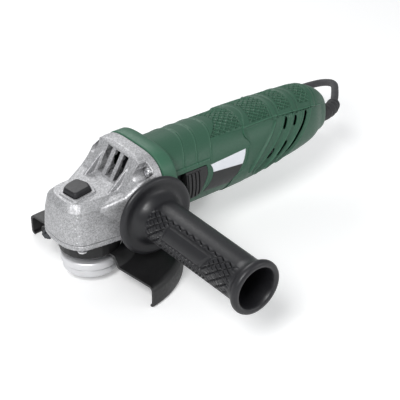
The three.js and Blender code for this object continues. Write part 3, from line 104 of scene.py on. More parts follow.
class GrinderColours(bpy.types.PropertyGroup):
    housing_green: colour("Housing green", "Moulded housing and rear cover", "2d5441")
    cast_grey: colour("Cast grey", "Sand-cast aluminium of the gear head", "c8c8ca")
    steel_grey: colour("Steel grey", "Turned and plated steel", "e6e6e8")
    handle_black: colour("Handle black", "Moulded side handle", "1b1b1e")
    switch_black: colour("Switch black", "Slide switch and lock button", "232324")
    guard_black: colour("Guard black", "Powder coat of the guard", "1a1a1b")
    cord_grey: colour("Cord grey", "Rubber of the cord and the strain relief", "3a3a3c")
    label_pale: colour("Label pale", "Upper part of the plain label", "e6e8ee")
    label_dark: colour("Label dark", "Lower part of the plain label", "1f2021")


def size(name):
    """A size in millimetres."""
    return getattr(bpy.context.scene.grinder_sizes, name) / MM


def tone(name):
    return tuple(getattr(bpy.context.scene.grinder_colours, name))


# Forms: a form is a pair of an array of points in millimetres and a list of faces

def joined(*forms):
    points, faces, start = [], [], 0
    for place, sides in forms:
        points.append(np.asarray(place, float))
        faces += [tuple(i + start for i in side) for side in sides]
        start += len(place)
    return np.vstack(points), faces


def moved(form, matrix):
    points, faces = form
    spots = np.c_[points, np.ones(len(points))] @ np.array(matrix).T
    return spots[:, :3], faces


def turned_about_z(form, degrees):
    return moved(form, Matrix.Rotation(math.radians(degrees), 4, "Z"))


def bands(rings, around, closed):
    """Four-sided faces between neighbouring rings, and from the last to the first where closed."""
    faces = []
    for r in range(rings if closed else rings - 1):
        here, above = r * around, (r + 1) % rings * around
        faces += [(here + i, here + (i + 1) % around, above + (i + 1) % around, above + i)
                  for i in range(around)]
    return faces


def loft(rings):
    """Joins rings of as many points each into one closed skin with flat ends."""
    rings = np.asarray(rings, float)
    count, around = rings.shape[:2]
    ends = [tuple(range(around))[::-1], tuple((count - 1) * around + i for i in range(around))]
    return rings.reshape(-1, 3), bands(count, around, False) + ends


def revolved(profile, steps):
    """Revolves a closed profile of (radius, height) about Z."""
    angles = np.linspace(0, FULL, steps, endpoint=False)
    rings = [[(r * math.cos(a), r * math.sin(a), h) for r, h in profile] for a in angles]
    return np.asarray(rings, float).reshape(-1, 3), bands(steps, len(profile), True)


def standing(kind, at=(0, 0, 0)):
    """The matrix that lays a form drawn about Z along X or outwards along -Y, or leaves it."""
    bases = {"X": ((0, 0, 1), (1, 0, 0), (0, 1, 0)), "OUT": ((1, 0, 0), (0, 0, -1), (0, 1, 0)),
             "Z": ((1, 0, 0), (0, 1, 0), (0, 0, 1))}
    return Matrix.Translation(at) @ Matrix(bases[kind]).to_4x4()


def post(kind, at, radius, low, high, steps=48):
    return moved(revolved([(0, low), (radius, low), (radius, high), (0, high)], steps), standing(kind, at))


def core(radius, low, high, steps=96):
    """A round form about the motor's axis."""
    return post("X", (0, 0, size("motor_height")), radius, low, high, steps)


def block(x, y, z):
    """A box between two places along each axis."""
    corners = [(x[0], y[0]), (x[1], y[0]), (x[1], y[1]), (x[0], y[1])]
    return loft([[(a, b, end) for a, b in corners] for end in z])


def prism(outline, ends):
    """An outline in XZ drawn out along Y between two places."""
    return loft([[(x, y, z) for x, z in outline] for y in ends])


def eased(points, i, radius, share, count):
    """The i-th corner rounded by a curve that starts a radius away, or a share of the shorter edge."""
    here, before, after = (Vector(points[(i + k) % len(points)]) for k in (0, -1, 1))
    reach = min(radius, share * (before - here).length, share * (after - here).length)
    start = here + (before - here).normalized() * reach
    end = here + (after - here).normalized() * reach
    return [tuple(start * (1 - t) ** 2 + here * 2 * t * (1 - t) + end * t ** 2)
            for t in (k / count for k in range(count + 1))]


def rounded(corners, radius, count):
    """Rounds the corners of a polygon."""
    return [point for i in range(len(corners)) for point in eased(corners, i, radius, 0.48, count)]


def soft_profile(points, radius, count=3):
    """Rounds the corners of a closed profile except the ones on its axis."""
    out = []
    for i, corner in enumerate(points):
        out += [corner] if corner[0] < 0.01 else eased(points, i, radius, 0.45, count)
    return out


def arc(centre, radius, low, high, count):
    """Points of an arc between two angles in degrees."""
    return [(centre[0] + radius * math.cos(a), centre[1] + radius * math.sin(a))
            for a in np.radians(np.linspace(low, high, count + 1))]


def bezier(start, pull, end, count=28):
    t = np.linspace(0, 1, count + 1)[:, None]
    start, pull, end = (np.asarray(p, float) for p in (start, pull, end))
    return start * (1 - t) ** 2 + 2 * pull * t * (1 - t) + end * t ** 2


def smooth_line(points, count):
    """A Catmull-Rom line through points, with a few points between each pair."""
    points = [np.asarray(p, float) for p in points]
    points = [2 * points[0] - points[1], *points, 2 * points[-1] - points[-2]]
    out = []
    for a, b, c, d in zip(points, points[1:], points[2:], points[3:]):
        for k in range(count):
            t = k / count
            out.append(0.5 * (2 * b + (c - a) * t + (2 * a - 5 * b + 4 * c - d) * t ** 2
                              + (3 * b - a - 3 * c + d) * t ** 3))
    return np.array(out + [points[-2]])


def hermite(first, first_slope, second, second_slope, t):
    """A cubic between two values with their slopes, for t from 0 to 1."""
    return (first * (2 * t ** 3 - 3 * t ** 2 + 1) + first_slope * (t ** 3 - 2 * t ** 2 + t)
            + second * (3 * t ** 2 - 2 * t ** 3) + second_slope * (t ** 3 - t ** 2))


def step(value, edge, width):
    """Rises smoothly from 0 to 1 where value passes edge."""
    t = np.clip((value - edge) / width + 0.5, 0, 1)
    return t * t * (3 - 2 * t)


def window(value, low, high, width):
    """1 between two edges and 0 outside them, with smooth flanks."""
    return step(value, low, width) * (1 - step(value, high, width))


def bump(distance, half_width):
    """A rounded bead: 1 at distance 0, and 0 from half_width on."""
    return 0.5 + 0.5 * np.cos(np.pi * np.clip(np.abs(distance) / half_width, 0, 1))


def distance_to_line(a, b, line):
    """Distance of points (a, b) to an open line, and how far along it the nearest place is, 0 to 1."""
    best, share = np.full(len(a), 1e9), np.zeros(len(a))
    for i, (start, end) in enumerate(zip(line, line[1:])):
        run = end - start
        t = np.clip(((a - start[0]) * run[0] + (b - start[1]) * run[1]) / (run @ run), 0, 1)
        gap = np.hypot(a - start[0] - t * run[0], b - start[1] - t * run[1])
        near = gap < best
        best, share = np.where(near, gap, best), np.where(near, (i + t) / (len(line) - 1), share)
    return best, share


# Meshes and objects

def new_object(name, form, material=None):
    points, faces = form
    mesh = bpy.data.meshes.new(name)
    mesh.from_pydata((np.asarray(points) * MM).tolist(), [], faces)
    clean = bmesh.new()
    clean.from_mesh(mesh)
    bmesh.ops.remove_doubles(clean, verts=clean.verts, dist=1e-7)
    bmesh.ops.recalc_face_normals(clean, faces=clean.faces)
    clean.to_mesh(mesh)
    clean.free()
    piece = bpy.data.objects.new(name, mesh)
    bpy.context.scene.collection.objects.link(piece)
    if material:
        mesh.materials.append(material)
    return piece


def applied(piece):
    """Writes what the modifiers make into the piece's own mesh."""
    shape = piece.evaluated_get(bpy.context.evaluated_depsgraph_get())
    mesh = bpy.data.meshes.new_from_object(shape)
    old = piece.data
    piece.modifiers.clear()
    piece.data = mesh
    mesh.name = piece.name
    bpy.data.meshes.remove(old)
    return piece


def carve(piece, forms, operation="DIFFERENCE"):
    """Cuts forms out of a piece, adds them, or keeps what they share."""
    for form in forms:
        tool = new_object("tool", form)
        before = len(piece.data.polygons)
        for solver in ("MANIFOLD", "EXACT"):
            cut = piece.modifiers.new("cut", "BOOLEAN")
            cut.operation, cut.object, cut.solver = operation, tool, solver
            shape = piece.evaluated_get(bpy.context.evaluated_depsgraph_get())
            count = len(shape.data.polygons)
            if count and count != before:
                break
            piece.modifiers.clear()
        if piece.modifiers:
            applied(piece)
        bpy.data.objects.remove(tool)
    return piece


def shaped(piece, height):
    """Moves each point along its normal by height(x, y, z), all in millimetres."""
    mesh = piece.data
    count = len(mesh.vertices)
    spots, normals = np.empty(count * 3), np.empty(count * 3)
    mesh.vertices.foreach_get("co", spots)
    mesh.vertex_normals.foreach_get("vector", normals)
    spots, normals = spots.reshape(-1, 3), normals.reshape(-1, 3)
    lift = height(*(spots / MM).T)
    mesh.vertices.foreach_set("co", (spots + normals * lift[:, None] * MM).ravel())
    mesh.update()
    return piece


def form_of(piece):
    """The mesh of a piece as a form."""
    mesh = piece.data
    return np.array([v.co for v in mesh.vertices]) / MM, [tuple(p.vertices) for p in mesh.polygons]


def node_form(name):
    return form_of(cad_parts[name])


def taken(piece):
    """The form of a helper piece, which is removed."""
    form = form_of(piece)
    bpy.data.objects.remove(piece)
    return form


def softened(name, form, voxel, rounds, material):
    """Skins forms into one closed surface with soft cast or moulded edges."""
    piece = new_object(name, form, material)
    skin = piece.modifiers.new("skin", "REMESH")
    skin.mode, skin.voxel_size, skin.adaptivity = "VOXEL", voxel * MM, 0
    soft = piece.modifiers.new("soft", "SMOOTH")
    soft.factor, soft.iterations = 0.5, rounds
    return applied(piece)


def bevelled(name, form, width, material):
    """Flattens the facets of a form and breaks its edges."""
    piece = new_object(name, form, material)
    clean = bmesh.new()
    clean.from_mesh(piece.data)
    bmesh.ops.dissolve_limit(clean, angle_limit=math.radians(2), verts=clean.verts, edges=clean.edges)
    clean.to_mesh(piece.data)
    clean.free()
    edge = piece.modifiers.new("edge", "BEVEL")
    edge.width, edge.segments, edge.limit_method = width * MM, 2, "ANGLE"
    edge.angle_limit, edge.use_clamp_overlap = math.radians(30), True
    return applied(piece)


def fitted(piece, body, nodes, material=None, angle=32):
    """Smooths a finished piece, gives it its material and hands it to the frame."""
    if material:
        piece.data.materials.clear()
        piece.data.materials.append(material)
    piece.data.shade_smooth()
    piece.data.set_sharp_from_angle(angle=math.radians(angle))
    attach(piece, body)
    if nodes:
        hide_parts(*nodes)
    return piece


# Materials

def add_node(tree, kind, inputs, **values):
    """Adds a shader node; each of its inputs is given a value or linked to a socket."""
    node = tree.nodes.new(kind)
    for key, value in values.items():
        setattr(node, key, value)
    for key, value in inputs.items():
        if isinstance(value, bpy.types.NodeSocket):
            tree.links.new(value, node.inputs[key])
        else:
            node.inputs[key].default_value = value
    return node


class Finish:
    """One node material: a Principled shader fed by noise in the object's own coordinates."""

    def __init__(self, name, roughness, metallic=0.0):
        self.material = bpy.data.materials.new(name)
        self.material.use_nodes = True
        self.tree = self.material.node_tree
        self.shader = self.tree.nodes["Principled BSDF"]
        self.shader.inputs["Roughness"].default_value = roughness
        self.shader.inputs["Metallic"].default_value = metallic
        self.place = self.node("ShaderNodeTexCoord", {}).outputs["Object"]
        self.height = None

    def node(self, kind, inputs, **values):
        return add_node(self.tree, kind, inputs, **values)

    def noise(self, scale, detail, rough=0.5):
        inputs = {"Scale": scale, "Detail": detail, "Roughness": rough, "Vector": self.place}
        return self.node("ShaderNodeTexNoise", inputs).outputs["Fac"]

    def cells(self, scale):
        patches = self.node("ShaderNodeTexVoronoi", {"Scale": scale, "Vector": self.place})
        return self.node("ShaderNodeSeparateColor", {"Color": patches.outputs["Color"]}).outputs["Red"]

    def rings(self, scale, direction):
        inputs = {"Scale": scale, "Distortion": 0.6, "Vector": self.place}
        node = self.node("ShaderNodeTexWave", inputs, wave_type="RINGS", rings_direction=direction)
        return node.outputs["Fac"]

    def spread(self, value, low, high, start=0.3, end=0.7):
        inputs = {"Value": value, "From Min": start, "From Max": end, "To Min": low, "To Max": high}
        return self.node("ShaderNodeMapRange", inputs).outputs["Result"]

    def blend(self, factor, first, second):
        """Mixes two colours, each a tuple or a socket."""
        first, second = ((*c[:3], 1) if isinstance(c, tuple) else c for c in (first, second))
        return self.node("ShaderNodeMix", {0: factor, 6: first, 7: second}, data_type="RGBA").outputs[2]

    def mottled(self, base, low, high, scale, detail=3.0):
        """The base colour between a darker and a lighter share of itself."""
        dark, light = (tuple(min(1, c * share) for c in base) for share in (low, high))
        return self.blend(self.spread(self.noise(scale, detail), 0, 1), dark, light)

    def edges(self, low, high):
        """0 on flats and 1 on outer edges."""
        return self.spread(self.node("ShaderNodeNewGeometry", {}).outputs["Pointiness"], 0, 1, low, high)

    def shaded(self, value, distance, darkest, start=0.3, end=0.8):
        """The colour darkened by painted shade where the surface closes in on itself within a distance in
        millimetres.
        """
        inputs = {"Distance": distance * MM}
        node = self.node("ShaderNodeAmbientOcclusion", inputs, samples=8, only_local=True)
        light = self.spread(node.outputs["AO"], darkest, 1, start, end)
        mix = self.node("ShaderNodeVectorMath", {0: value, "Scale": light}, operation="SCALE")
        return mix.outputs["Vector"]

    def paint(self, value):
        self.tree.links.new(value, self.shader.inputs["Base Color"])

    def polish(self, value):
        self.tree.links.new(value, self.shader.inputs["Roughness"])

    def grain(self, value, depth, strength):
        """Adds a bump whose height is value times depth in millimetres."""
        inputs = {"Distance": depth * MM, "Strength": strength, "Height": value}
        if self.height:
            inputs["Normal"] = self.height
        self.height = self.node("ShaderNodeBump", inputs).outputs["Normal"]
        self.tree.links.new(self.height, self.shader.inputs["Normal"])


def cast_finish():
    """Sand-cast aluminium: fine bright and dark grains, paler edges that are partly wear and partly a
    painted highlight, and painted shade in deep hollows.
    """
    base = tone("cast_grey")
    f = Finish("cast aluminium", 0.5, 0.6)
    grains = f.blend(f.spread(f.cells(1350), 0, 1, 0.1, 0.9), tuple(c * 0.62 for c in base), base)
    # Paler edges: partly wear, partly a painted highlight.
    worn_and_highlit = f.blend(f.edges(0.54, 0.64), grains, tuple(min(1, c * 1.5) for c in base))
    # Painted shade darkens the grille's slots and other deep hollows.
    f.paint(f.shaded(worn_and_highlit, 22, 0.02, 0.18, 0.5))
    f.polish(f.spread(f.cells(1600), 0.4, 0.6, 0, 1))
    f.grain(f.noise(1300, 2, 0.6), 0.09, 0.6)
    return f.material


def turned_finish(name, base, roughness):
    """Turned or ground steel, bright and nearly plain."""
    f = Finish(name, roughness, 0.55)
    f.paint(f.mottled(base, 0.97, 1.0, 90, 1))
    f.polish(f.spread(f.noise(400, 1), roughness * 0.95, roughness * 1.05))
    return f.material


def steel_finish(name, base, roughness, metallic=0.9):
    """Plated, blackened or plain steel with a light grain."""
    f = Finish(name, roughness, metallic)
    f.paint(f.mottled(base, 0.9, 1.04, 260))
    f.polish(f.spread(f.noise(900, 2), roughness * 0.85, roughness * 1.2))
    f.grain(f.noise(1500, 2), 0.01, 0.3)
    return f.material


def coat_finish():
    """Black powder coat: orange peel, a satin sheen and a painted highlight on its edges."""
    base = tone("guard_black")
    f = Finish("powder coat", 0.4)
    # The edges are painted lighter: a painted highlight.
    f.paint(f.blend(f.edges(0.52, 0.6), f.mottled(base, 0.8, 1.2, 120), tuple(c * 2.2 for c in base)))
    f.polish(f.spread(f.noise(500, 2), 0.34, 0.5))
    f.grain(f.noise(900, 2), 0.06, 0.35)
    return f.material


def plastic_finish(name, base, roughness, texture=0.05, scale=1700, edge_highlight=1.35):
    """Moulded plastic with a fine spark-eroded texture, a painted highlight on its edges and painted shade
    in its grooves and pits.
    """
    f = Finish(name, roughness)
    fine = f.mottled(base, 0.9, 1.1, 900, 2)
    body = f.blend(f.spread(f.noise(40, 3), 0, 1), fine, tuple(min(1, c * 1.08) for c in base))
    # Painted highlight: edges lighter by a factor. Painted shade: darker where the surface closes in within
    # 2.5 mm.
    f.paint(f.shaded(f.blend(f.edges(0.515, 0.58), body, tuple(min(1, c * edge_highlight) for c in base)), 2.5, 0.3))
    f.polish(f.spread(f.noise(700, 3), roughness * 0.85, roughness * 1.15))
    f.grain(f.noise(scale, 3, 0.6), texture, 0.45)
    f.grain(f.noise(260, 2), 0.03, 0.15)
    return f.material


def rubber_finish(name, base):
    """Matt rubber with a dusty bloom."""
    f = Finish(name, 0.62)
    f.paint(f.mottled(base, 0.8, 1.25, 210, 4))
    f.polish(f.spread(f.noise(420, 3), 0.52, 0.72))
    f.grain(f.noise(2200, 2), 0.03, 0.4)
    return f.material


def wound_finish():
    """Enamelled copper wire laid side by side."""
    f = Finish("copper windings", 0.35, 0.8)
    base = linear("b0673b")
    f.paint(f.mottled(base, 0.6, 1.15, 320))
    f.grain(f.rings(420, "X"), 0.3, 0.7)
    return f.material


def label_finish():
    """A plain printed label: pale above a slanted line and dark below it."""
    f = Finish("plain label", 0.34)
    split = f.node("ShaderNodeSeparateXYZ", {"Vector": f.place}).outputs
    slope = f.node("ShaderNodeMath", {0: split["X"], 1: 0.1, 2: split["Z"]}, operation="MULTIPLY_ADD")
    edge = f.spread(slope.outputs[0], 0, 1, 0.0647, 0.0649)
    pale = f.mottled(tone("label_pale"), 0.94, 1.02, 60)
    dark = f.mottled(tone("label_dark"), 0.8, 1.2, 60)
    f.paint(f.blend(edge, dark, pale))
    f.polish(f.spread(f.noise(300, 2), 0.28, 0.42))
    f.grain(f.noise(140, 2), 0.02, 0.3)
    return f.material


def floor_finish():
    """A pale floor that keeps the soft shadow and reads near white to the camera."""
    f = Finish("studio floor", 0.8)
    f.paint(f.mottled((0.92, 0.92, 0.92), 0.995, 1.0, 3))
    f.shader.inputs["Specular IOR Level"].default_value = 0.1
    plain = f.shader.outputs["BSDF"]
    glow = f.node("ShaderNodeEmission", {"Strength": 0.22}).outputs["Emission"]
    total = f.node("ShaderNodeAddShader", {0: plain, 1: glow}).outputs[0]
    seen = f.node("ShaderNodeLightPath", {}).outputs["Is Camera Ray"]
    mix = f.node("ShaderNodeMixShader", {0: seen, 1: plain, 2: total})
    f.tree.links.new(mix.outputs[0], f.tree.nodes["Material Output"].inputs["Surface"])
    return f.material


FINISHES = {}


def finish(name):
    """One of the grinder's finishes, made once."""
    makers = {
        "cast": cast_finish,
        "turned": lambda: turned_finish("turned steel", tone("steel_grey"), 0.36),
        "bright": lambda: steel_finish("plated steel", tone("steel_grey"), 0.28),
        "dark": lambda: steel_finish("blackened steel", linear("56585b"), 0.42),
        "coat": coat_finish,
        # The last value of each plastic is the strength of its painted edge highlight.
        "green": lambda: plastic_finish("green housing", tone("housing_green"), 0.46, edge_highlight=1.9),
        "handle": lambda: plastic_finish("handle plastic", tone("handle_black"), 0.4, 0.04, 1200, 1.8),
        "switch": lambda: plastic_finish("switch plastic", tone("switch_black"), 0.42, 0.03, 1500, 1.6),
        "inner": lambda: plastic_finish("inner plastic", linear("26272a"), 0.5),
        "rubber": lambda: rubber_finish("relief rubber", tuple(c * 0.6 for c in tone("cord_grey"))),
        "cord": lambda: rubber_finish("cord rubber", tone("cord_grey")),
        "copper": wound_finish,
        "brass": lambda: steel_finish("brass", linear("b89b55"), 0.35),
        "carbon": lambda: steel_finish("carbon", linear("2d2d2e"), 0.7, 0.1),
        "white": lambda: plastic_finish("white plastic", linear("dcd8cc"), 0.5, 0.03),
        "label": label_finish,
    }
    if name not in FINISHES:
        FINISHES[name] = makers[name]()
    return FINISHES[name]


# The stage: camera, light and floor, in metres and degrees

VIEW = {"azimuth": -38.63, "elevation": 32.21, "roll": 0.14, "lens": 85.5, "distance": 0.7365,
        "target": (0.10085, 0, 0.01307)}
# Name, place, target, width and power of each light
LAMPS = [
    ("key", (-0.6, -0.42, 0.85), (0.05, 0, 0.04), 0.45, 8.0),
    ("fill", (0.7, -0.9, 0.55), (0.1, 0, 0.03), 0.7, 2.6),
    ("rim", (0.25, 0.85, 0.75), (0.1, 0, 0.05), 0.6, 3.2),
]
# Half the floor's width in millimetres
FLOOR_REACH = 4000


def camera_axes(azimuth, elevation, roll):
    az, el = math.radians(azimuth), math.radians(elevation)
    back = Vector((math.sin(az) * math.cos(el), -math.cos(az) * math.cos(el), math.sin(el)))
    right = Vector((0, 0, 1)).cross(back).normalized()
    up = back.cross(right)
    turn = Matrix.Rotation(math.radians(roll), 3, back)
    return turn @ right, turn @ up, back


def area_light(name, spot, target, width, power):
    light = bpy.data.lights.new(name, "AREA")
    light.shape, light.size, light.energy = "DISK", width, power
    lamp = bpy.data.objects.new(name, light)
    bpy.context.scene.collection.objects.link(lamp)
    lamp.location = spot
    lamp.rotation_euler = (Vector(target) - Vector(spot)).to_track_quat("-Z", "Y").to_euler()


class GRINDER_OT_stage(bpy.types.Operator):
    """Set up the camera at the photograph's angle, the soft light and the pale floor"""
    bl_idname = "grinder.stage"
    bl_label = "Stage"

    def execute(self, context):
        scene = context.scene
        camera = bpy.data.cameras.new("camera")
        camera.sensor_fit, camera.sensor_width, camera.lens = "HORIZONTAL", 36, VIEW["lens"]
        camera.clip_end = 20
        eye = bpy.data.objects.new("camera", camera)
        scene.collection.objects.link(eye)
        right, up, back = camera_axes(VIEW["azimuth"], VIEW["elevation"], VIEW["roll"])
        axes = Matrix((right, up, back)).transposed().to_4x4()
        eye.matrix_world = Matrix.Translation(Vector(VIEW["target"]) + back * VIEW["distance"]) @ axes
        scene.camera = eye
        scene.view_settings.view_transform = "Standard"

        level = size("floor_level")
        lines = np.linspace(-FLOOR_REACH, FLOOR_REACH, 9)
        spots = [(x, y, level) for x in lines for y in lines]
        sides = [(i * 9 + k, (i + 1) * 9 + k, (i + 1) * 9 + k + 1, i * 9 + k + 1)
                 for i in range(8) for k in range(8)]
        new_object("studio_floor", (np.array(spots), sides), floor_finish())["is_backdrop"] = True

        for lamp in LAMPS:
            area_light(*lamp)

        world = bpy.data.worlds.new("studio")
        scene.world = world
        world.use_nodes = True
        tree = world.node_tree
        soft = tree.nodes["Background"]
        soft.inputs["Color"].default_value = (0.96, 0.98, 1, 1)
        soft.inputs["Strength"].default_value = 0.42
        white = add_node(tree, "ShaderNodeBackground", {"Strength": 1.0}).outputs[0]
        rays = add_node(tree, "ShaderNodeLightPath", {}).outputs
        seen = {0: rays["Is Camera Ray"], 1: rays["Is Transmission Ray"]}
        either = add_node(tree, "ShaderNodeMath", seen, operation="MAXIMUM").outputs[0]
        mix = add_node(tree, "ShaderNodeMixShader", {0: either, 1: soft.outputs[0], 2: white})
        tree.links.new(mix.outputs[0], tree.nodes["World Output"].inputs["Surface"])
        return {"FINISHED"}


# Strain relief, cord, coil and plug

# The relief bends through an angle at this radius, and the cord goes on to the coil by these places
RELIEF_BEND = 30.0
RELIEF_ANGLE = math.radians(40)
RELIEF_LENGTH = RELIEF_ANGLE * RELIEF_BEND
RELIEF_RADIUS = 6.6
RELIEF_RIBS = 4
CORD_ROUTE = [
    (273, 27.5, 46), (284, 39, 43), (292, 52, 38), (296.5, 67, 31), (295.5, 82.5, 22.5), (288.5, 96.5, 14),
    (277, 107.5, 6.5), (262, 114.5, 0.8), (245, 118.2, -1.9), (226, 119.8, -2.2), (196, 120.6, -2.2),
    (162, 121.4, -2.2), (130, 121.8, -2.2),
]
COIL = {"x": 94.0, "y": 72.0, "inner": 26.2, "spacing": 7.1, "turns": 6.625, "floor": -2.2, "steps": 24}
PLUG_LENGTH = 50.0
PLUG_HALF = (17.5, 10.3)
PLUG_RIB_PITCH = 2.9
# How much of the way from the cord's grip to the full body the plug has grown at a share of its length
PLUG_GROWTH = [
    (0, 0), (0.06, 0), (0.12, 0.03), (0.3, 0.06), (0.36, 0.16), (0.44, 0.42), (0.52, 0.7), (0.6, 0.9),
    (0.68, 0.99), (0.8, 1), (0.93, 1), (0.97, 0.985), (1, 0.93),
]
PIN_SPACING = 19.0
PIN_PROFILE = [(0, -9), (2.4, -9), (2.4, 10), (2.15, 10.2), (2.15, 18.9), (0, 18.9)]


def relief_place(distance):
    """Centre and heading of the strain relief at a distance behind the tail's end face."""
    angle = min(max(0, distance) / RELIEF_BEND, RELIEF_ANGLE)
    beyond = max(0, distance) - angle * RELIEF_BEND
    ahead = Vector((math.cos(angle), math.sin(angle), 0))
    centre = Vector((size("tail_end") + min(0, distance) + RELIEF_BEND * math.sin(angle),
                     RELIEF_BEND * (1 - math.cos(angle)), size("tail_height")))
    return centre + ahead * beyond, ahead


def coil_place(turns):
    """Centre and heading of the coil: in on the floor, up a layer, and out again on top."""
    middle = FULL / 4 + FULL * COIL["turns"] / 2
    angle = middle + FULL * turns
    radius = COIL["inner"] + abs(turns) * COIL["spacing"]
    height = COIL["floor"] + step(turns, 0, 0.5) * COIL["spacing"]
    centre = Vector((COIL["x"] + radius * math.cos(angle), COIL["y"] + radius * math.sin(angle), height))
    heading = angle + FULL / 4
    return centre, Vector((math.cos(heading), math.sin(heading), 0))


def centripetal(points):
    """A centripetal Catmull-Rom line through points, with four steps between each pair."""
    points = [Vector(p) for p in points]
    points = [2 * points[0] - points[1], *points, 2 * points[-1] - points[-2]]
    out = []
    for a, b, c, d in zip(points, points[1:], points[2:], points[3:]):
        t0, t1, t2 = (math.sqrt((q - p).length) for p, q in ((a, b), (b, c), (c, d)))
        m1 = ((b - a) / t0 - (c - a) / (t0 + t1) + (c - b) / t1) * t1
        m2 = ((c - b) / t1 - (d - b) / (t1 + t2) + (d - c) / t2) * t1
        out += [hermite(b, m1, c, m2, k / 4) for k in range(4)]
    return out + [points[-2]]


def cord_line():
    """The cord's centre line from the relief's tip to the plug."""
    tip, ahead = relief_place(RELIEF_LENGTH)
    half = COIL["turns"] / 2
    count = round(COIL["turns"] * COIL["steps"])
    coil = [coil_place(-half + i / COIL["steps"]) for i in range(count + 1)]
    lead, heading = coil[0]
    lead = lead - heading * 8
    free = centripetal([tip, tip + ahead * 13, *CORD_ROUTE, lead - heading * 13, lead])
    last, out = coil[-1]
    plug_start = last + out * 30.3
    return [*free, *[centre for centre, _ in coil], last + out * 15, last + out * 30.2], plug_start, out


def cross_section(centre, ahead, half_width, half_height, power=1.0, count=40):
    """A ring of points across a heading, round or squarer."""
    side = Vector((-ahead.y, ahead.x, 0)).normalized() * half_width
    up = Vector((0, 0, half_height))

    def swell(value):
        return math.copysign(abs(value) ** power, value)
    return [tuple(centre + side * swell(math.cos(a)) + up * swell(math.sin(a)))
            for a in np.linspace(0, FULL, count, endpoint=False)]


class GRINDER_OT_cord(bpy.types.Operator):
    """Make the cord with its coil, its plug with two pins, and the strain relief"""
    bl_idname = "grinder.cord"
    bl_label = "Cord, plug and relief"

    def execute(self, context):
        line, plug_start, ahead = cord_line()
        curve = bpy.data.curves.new("mains_cord", "CURVE")
        curve.dimensions = "3D"
        curve.bevel_depth, curve.bevel_resolution = size("cord_diameter") / 2 * MM, 5
        curve.use_fill_caps = True
        spline = curve.splines.new("POLY")
        spline.points.add(len(line) - 1)
        for spot, place in zip(spline.points, line):
            spot.co = (*(place * MM), 1)
        spline.use_smooth = True
        cord = bpy.data.objects.new("mains_cord", curve)
        context.scene.collection.objects.link(cord)
        curve.materials.append(finish("cord"))
        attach(cord, "housing")
        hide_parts("cord", "cord_coil")

        rings = []
        for share, grown in smooth_line(PLUG_GROWTH, 4):
            base = 4.8 + 1.4 * min(1, share / 0.3)
            inset = max(0, share - 0.96) * 30
            centre = plug_start + ahead * share * PLUG_LENGTH
            wide, high = (base + (half - base) * grown - inset for half in PLUG_HALF)
            rings.append(cross_section(centre, ahead, wide, high, 1 - 0.25 * min(1, grown), 64))
        plug = new_object("mains_plug", loft(rings))
        along = np.array(ahead)

        def grip_ridges(x, y, z):
            run = (np.c_[x, y, z] - np.array(plug_start)) @ along / PLUG_LENGTH
            flank = window(run, 0.6, 0.9, 0.03) * step(abs(z - line[-1].z), 4, 3)
            beads = 0.5 + 0.5 * np.cos(run * PLUG_LENGTH * FULL / PLUG_RIB_PITCH)
            return -beads * (0.55 * window(run, 0.05, 0.31, 0.03) + 0.3 * flank)
        shaped(plug, grip_ridges)
        fitted(plug, "housing", ("plug",), finish("rubber"))
        side = Vector((-ahead.y, ahead.x, 0))
        basis = Matrix((side, Vector((0, 0, 1)), ahead)).transposed().to_4x4()
        for number, half in ((1, -0.5), (2, 0.5)):
            at = plug_start + ahead * PLUG_LENGTH + side * half * PIN_SPACING
            form = moved(revolved(soft_profile(PIN_PROFILE, 0.7), 32), Matrix.Translation(at) @ basis)
            fitted(new_object(f"mains_pin_{number}", form), "housing",
                               (f"plug_pin_{number}",), finish("bright"))
        tip, _ = relief_place(RELIEF_LENGTH)
        total = sum((b - a).length for a, b in zip(line, line[1:])) * MM
        size("cord_diameter") * MM

        stations = [(-28, 3.2), (-12.1, 3.2), (-12, 6.5), (-4, RELIEF_RADIUS), (0, RELIEF_RADIUS)]
        for share in np.linspace(0.02, 1, 72):
            rib = 0.5 + 0.5 * math.cos(FULL * RELIEF_RIBS * share)
            end = 1.1 * (1 - math.sqrt(1 - min(1, max(0, (share - 0.94) / 0.06)) ** 2))
            radius = RELIEF_RADIUS - 0.9 * share - 0.5 * rib ** 2 * (share > 0.06) - end
            stations.append((share * RELIEF_LENGTH, radius))
        rings = [cross_section(*relief_place(at), radius, radius) for at, radius in stations]
        relief = new_object("cord_relief", loft(rings))
        fitted(relief, "housing", ("strain_relief",), finish("rubber"))
        return {"FINISHED"}


# Gear head

# The arched top is a curve of this power, this much lower than the plate's half height
ARCH = 3.6
ARCH_DROP = 2.4
# The plate that the collar is screwed to: front and back along the body, half width and half height
PLATE_FRONT, PLATE_BACK = 34.1, 40.7
PLATE_HALF = (36, 34.5)
# The flange screws' places across and up from the motor's axis, and the cover screws' places from above
FLANGE_SCREWS = [(-29.6, -25.8), (-27.7, 22.8), (29.6, -25.8), (27.7, 22.8)]
COVER_SCREWS = [(-18.6, -20.6), (15, -22.4), (-18.6, 20.6), (15, 22.4)]
COVER_UNDERSIDE = 29.7
FLANGE_HEAD = {"radius": 3.5, "height": 2.8, "shank": 1.8, "depth": 4.6}
COVER_HEAD = {"radius": 3.4, "height": 2.4, "shank": 1.7, "depth": 7.4, "turn": 35}
# The grille: the slots' pitch, the middle slot's place, their half width, and a slot and the duct behind
# them seen from the side
SLOT_PITCH, SLOT_MIDDLE, SLOT_HALF = 9.6, -0.4, 2.9
SLOT_SIDE = [(11.5, 66.6), (20, 64.6), (36, 65), (36, 80), (33, 81.2), (24, 83), (11.5, 76)]
DUCT_SIDE = [(19.4, 65.2), (45, 65.2), (45, 80.4), (29.8, 80.4)]
DUCT_WIDTH = (-12.6, 12.2)
# The cast shoulders beside the grille start here, and have a half width, lower and upper edge at each place
SHOULDER_ROOT = 12.8
SHOULDERS = [
    (-13, 17, 44, 56), (-4, 22.8, 42, 58.5), (4, 26, 40, 60.6), (14, 29.5, 38, 64), (21, 31, 37, 69),
    (27, 32.5, 36, 75), (33.5, 33.5, 36, 77),
]
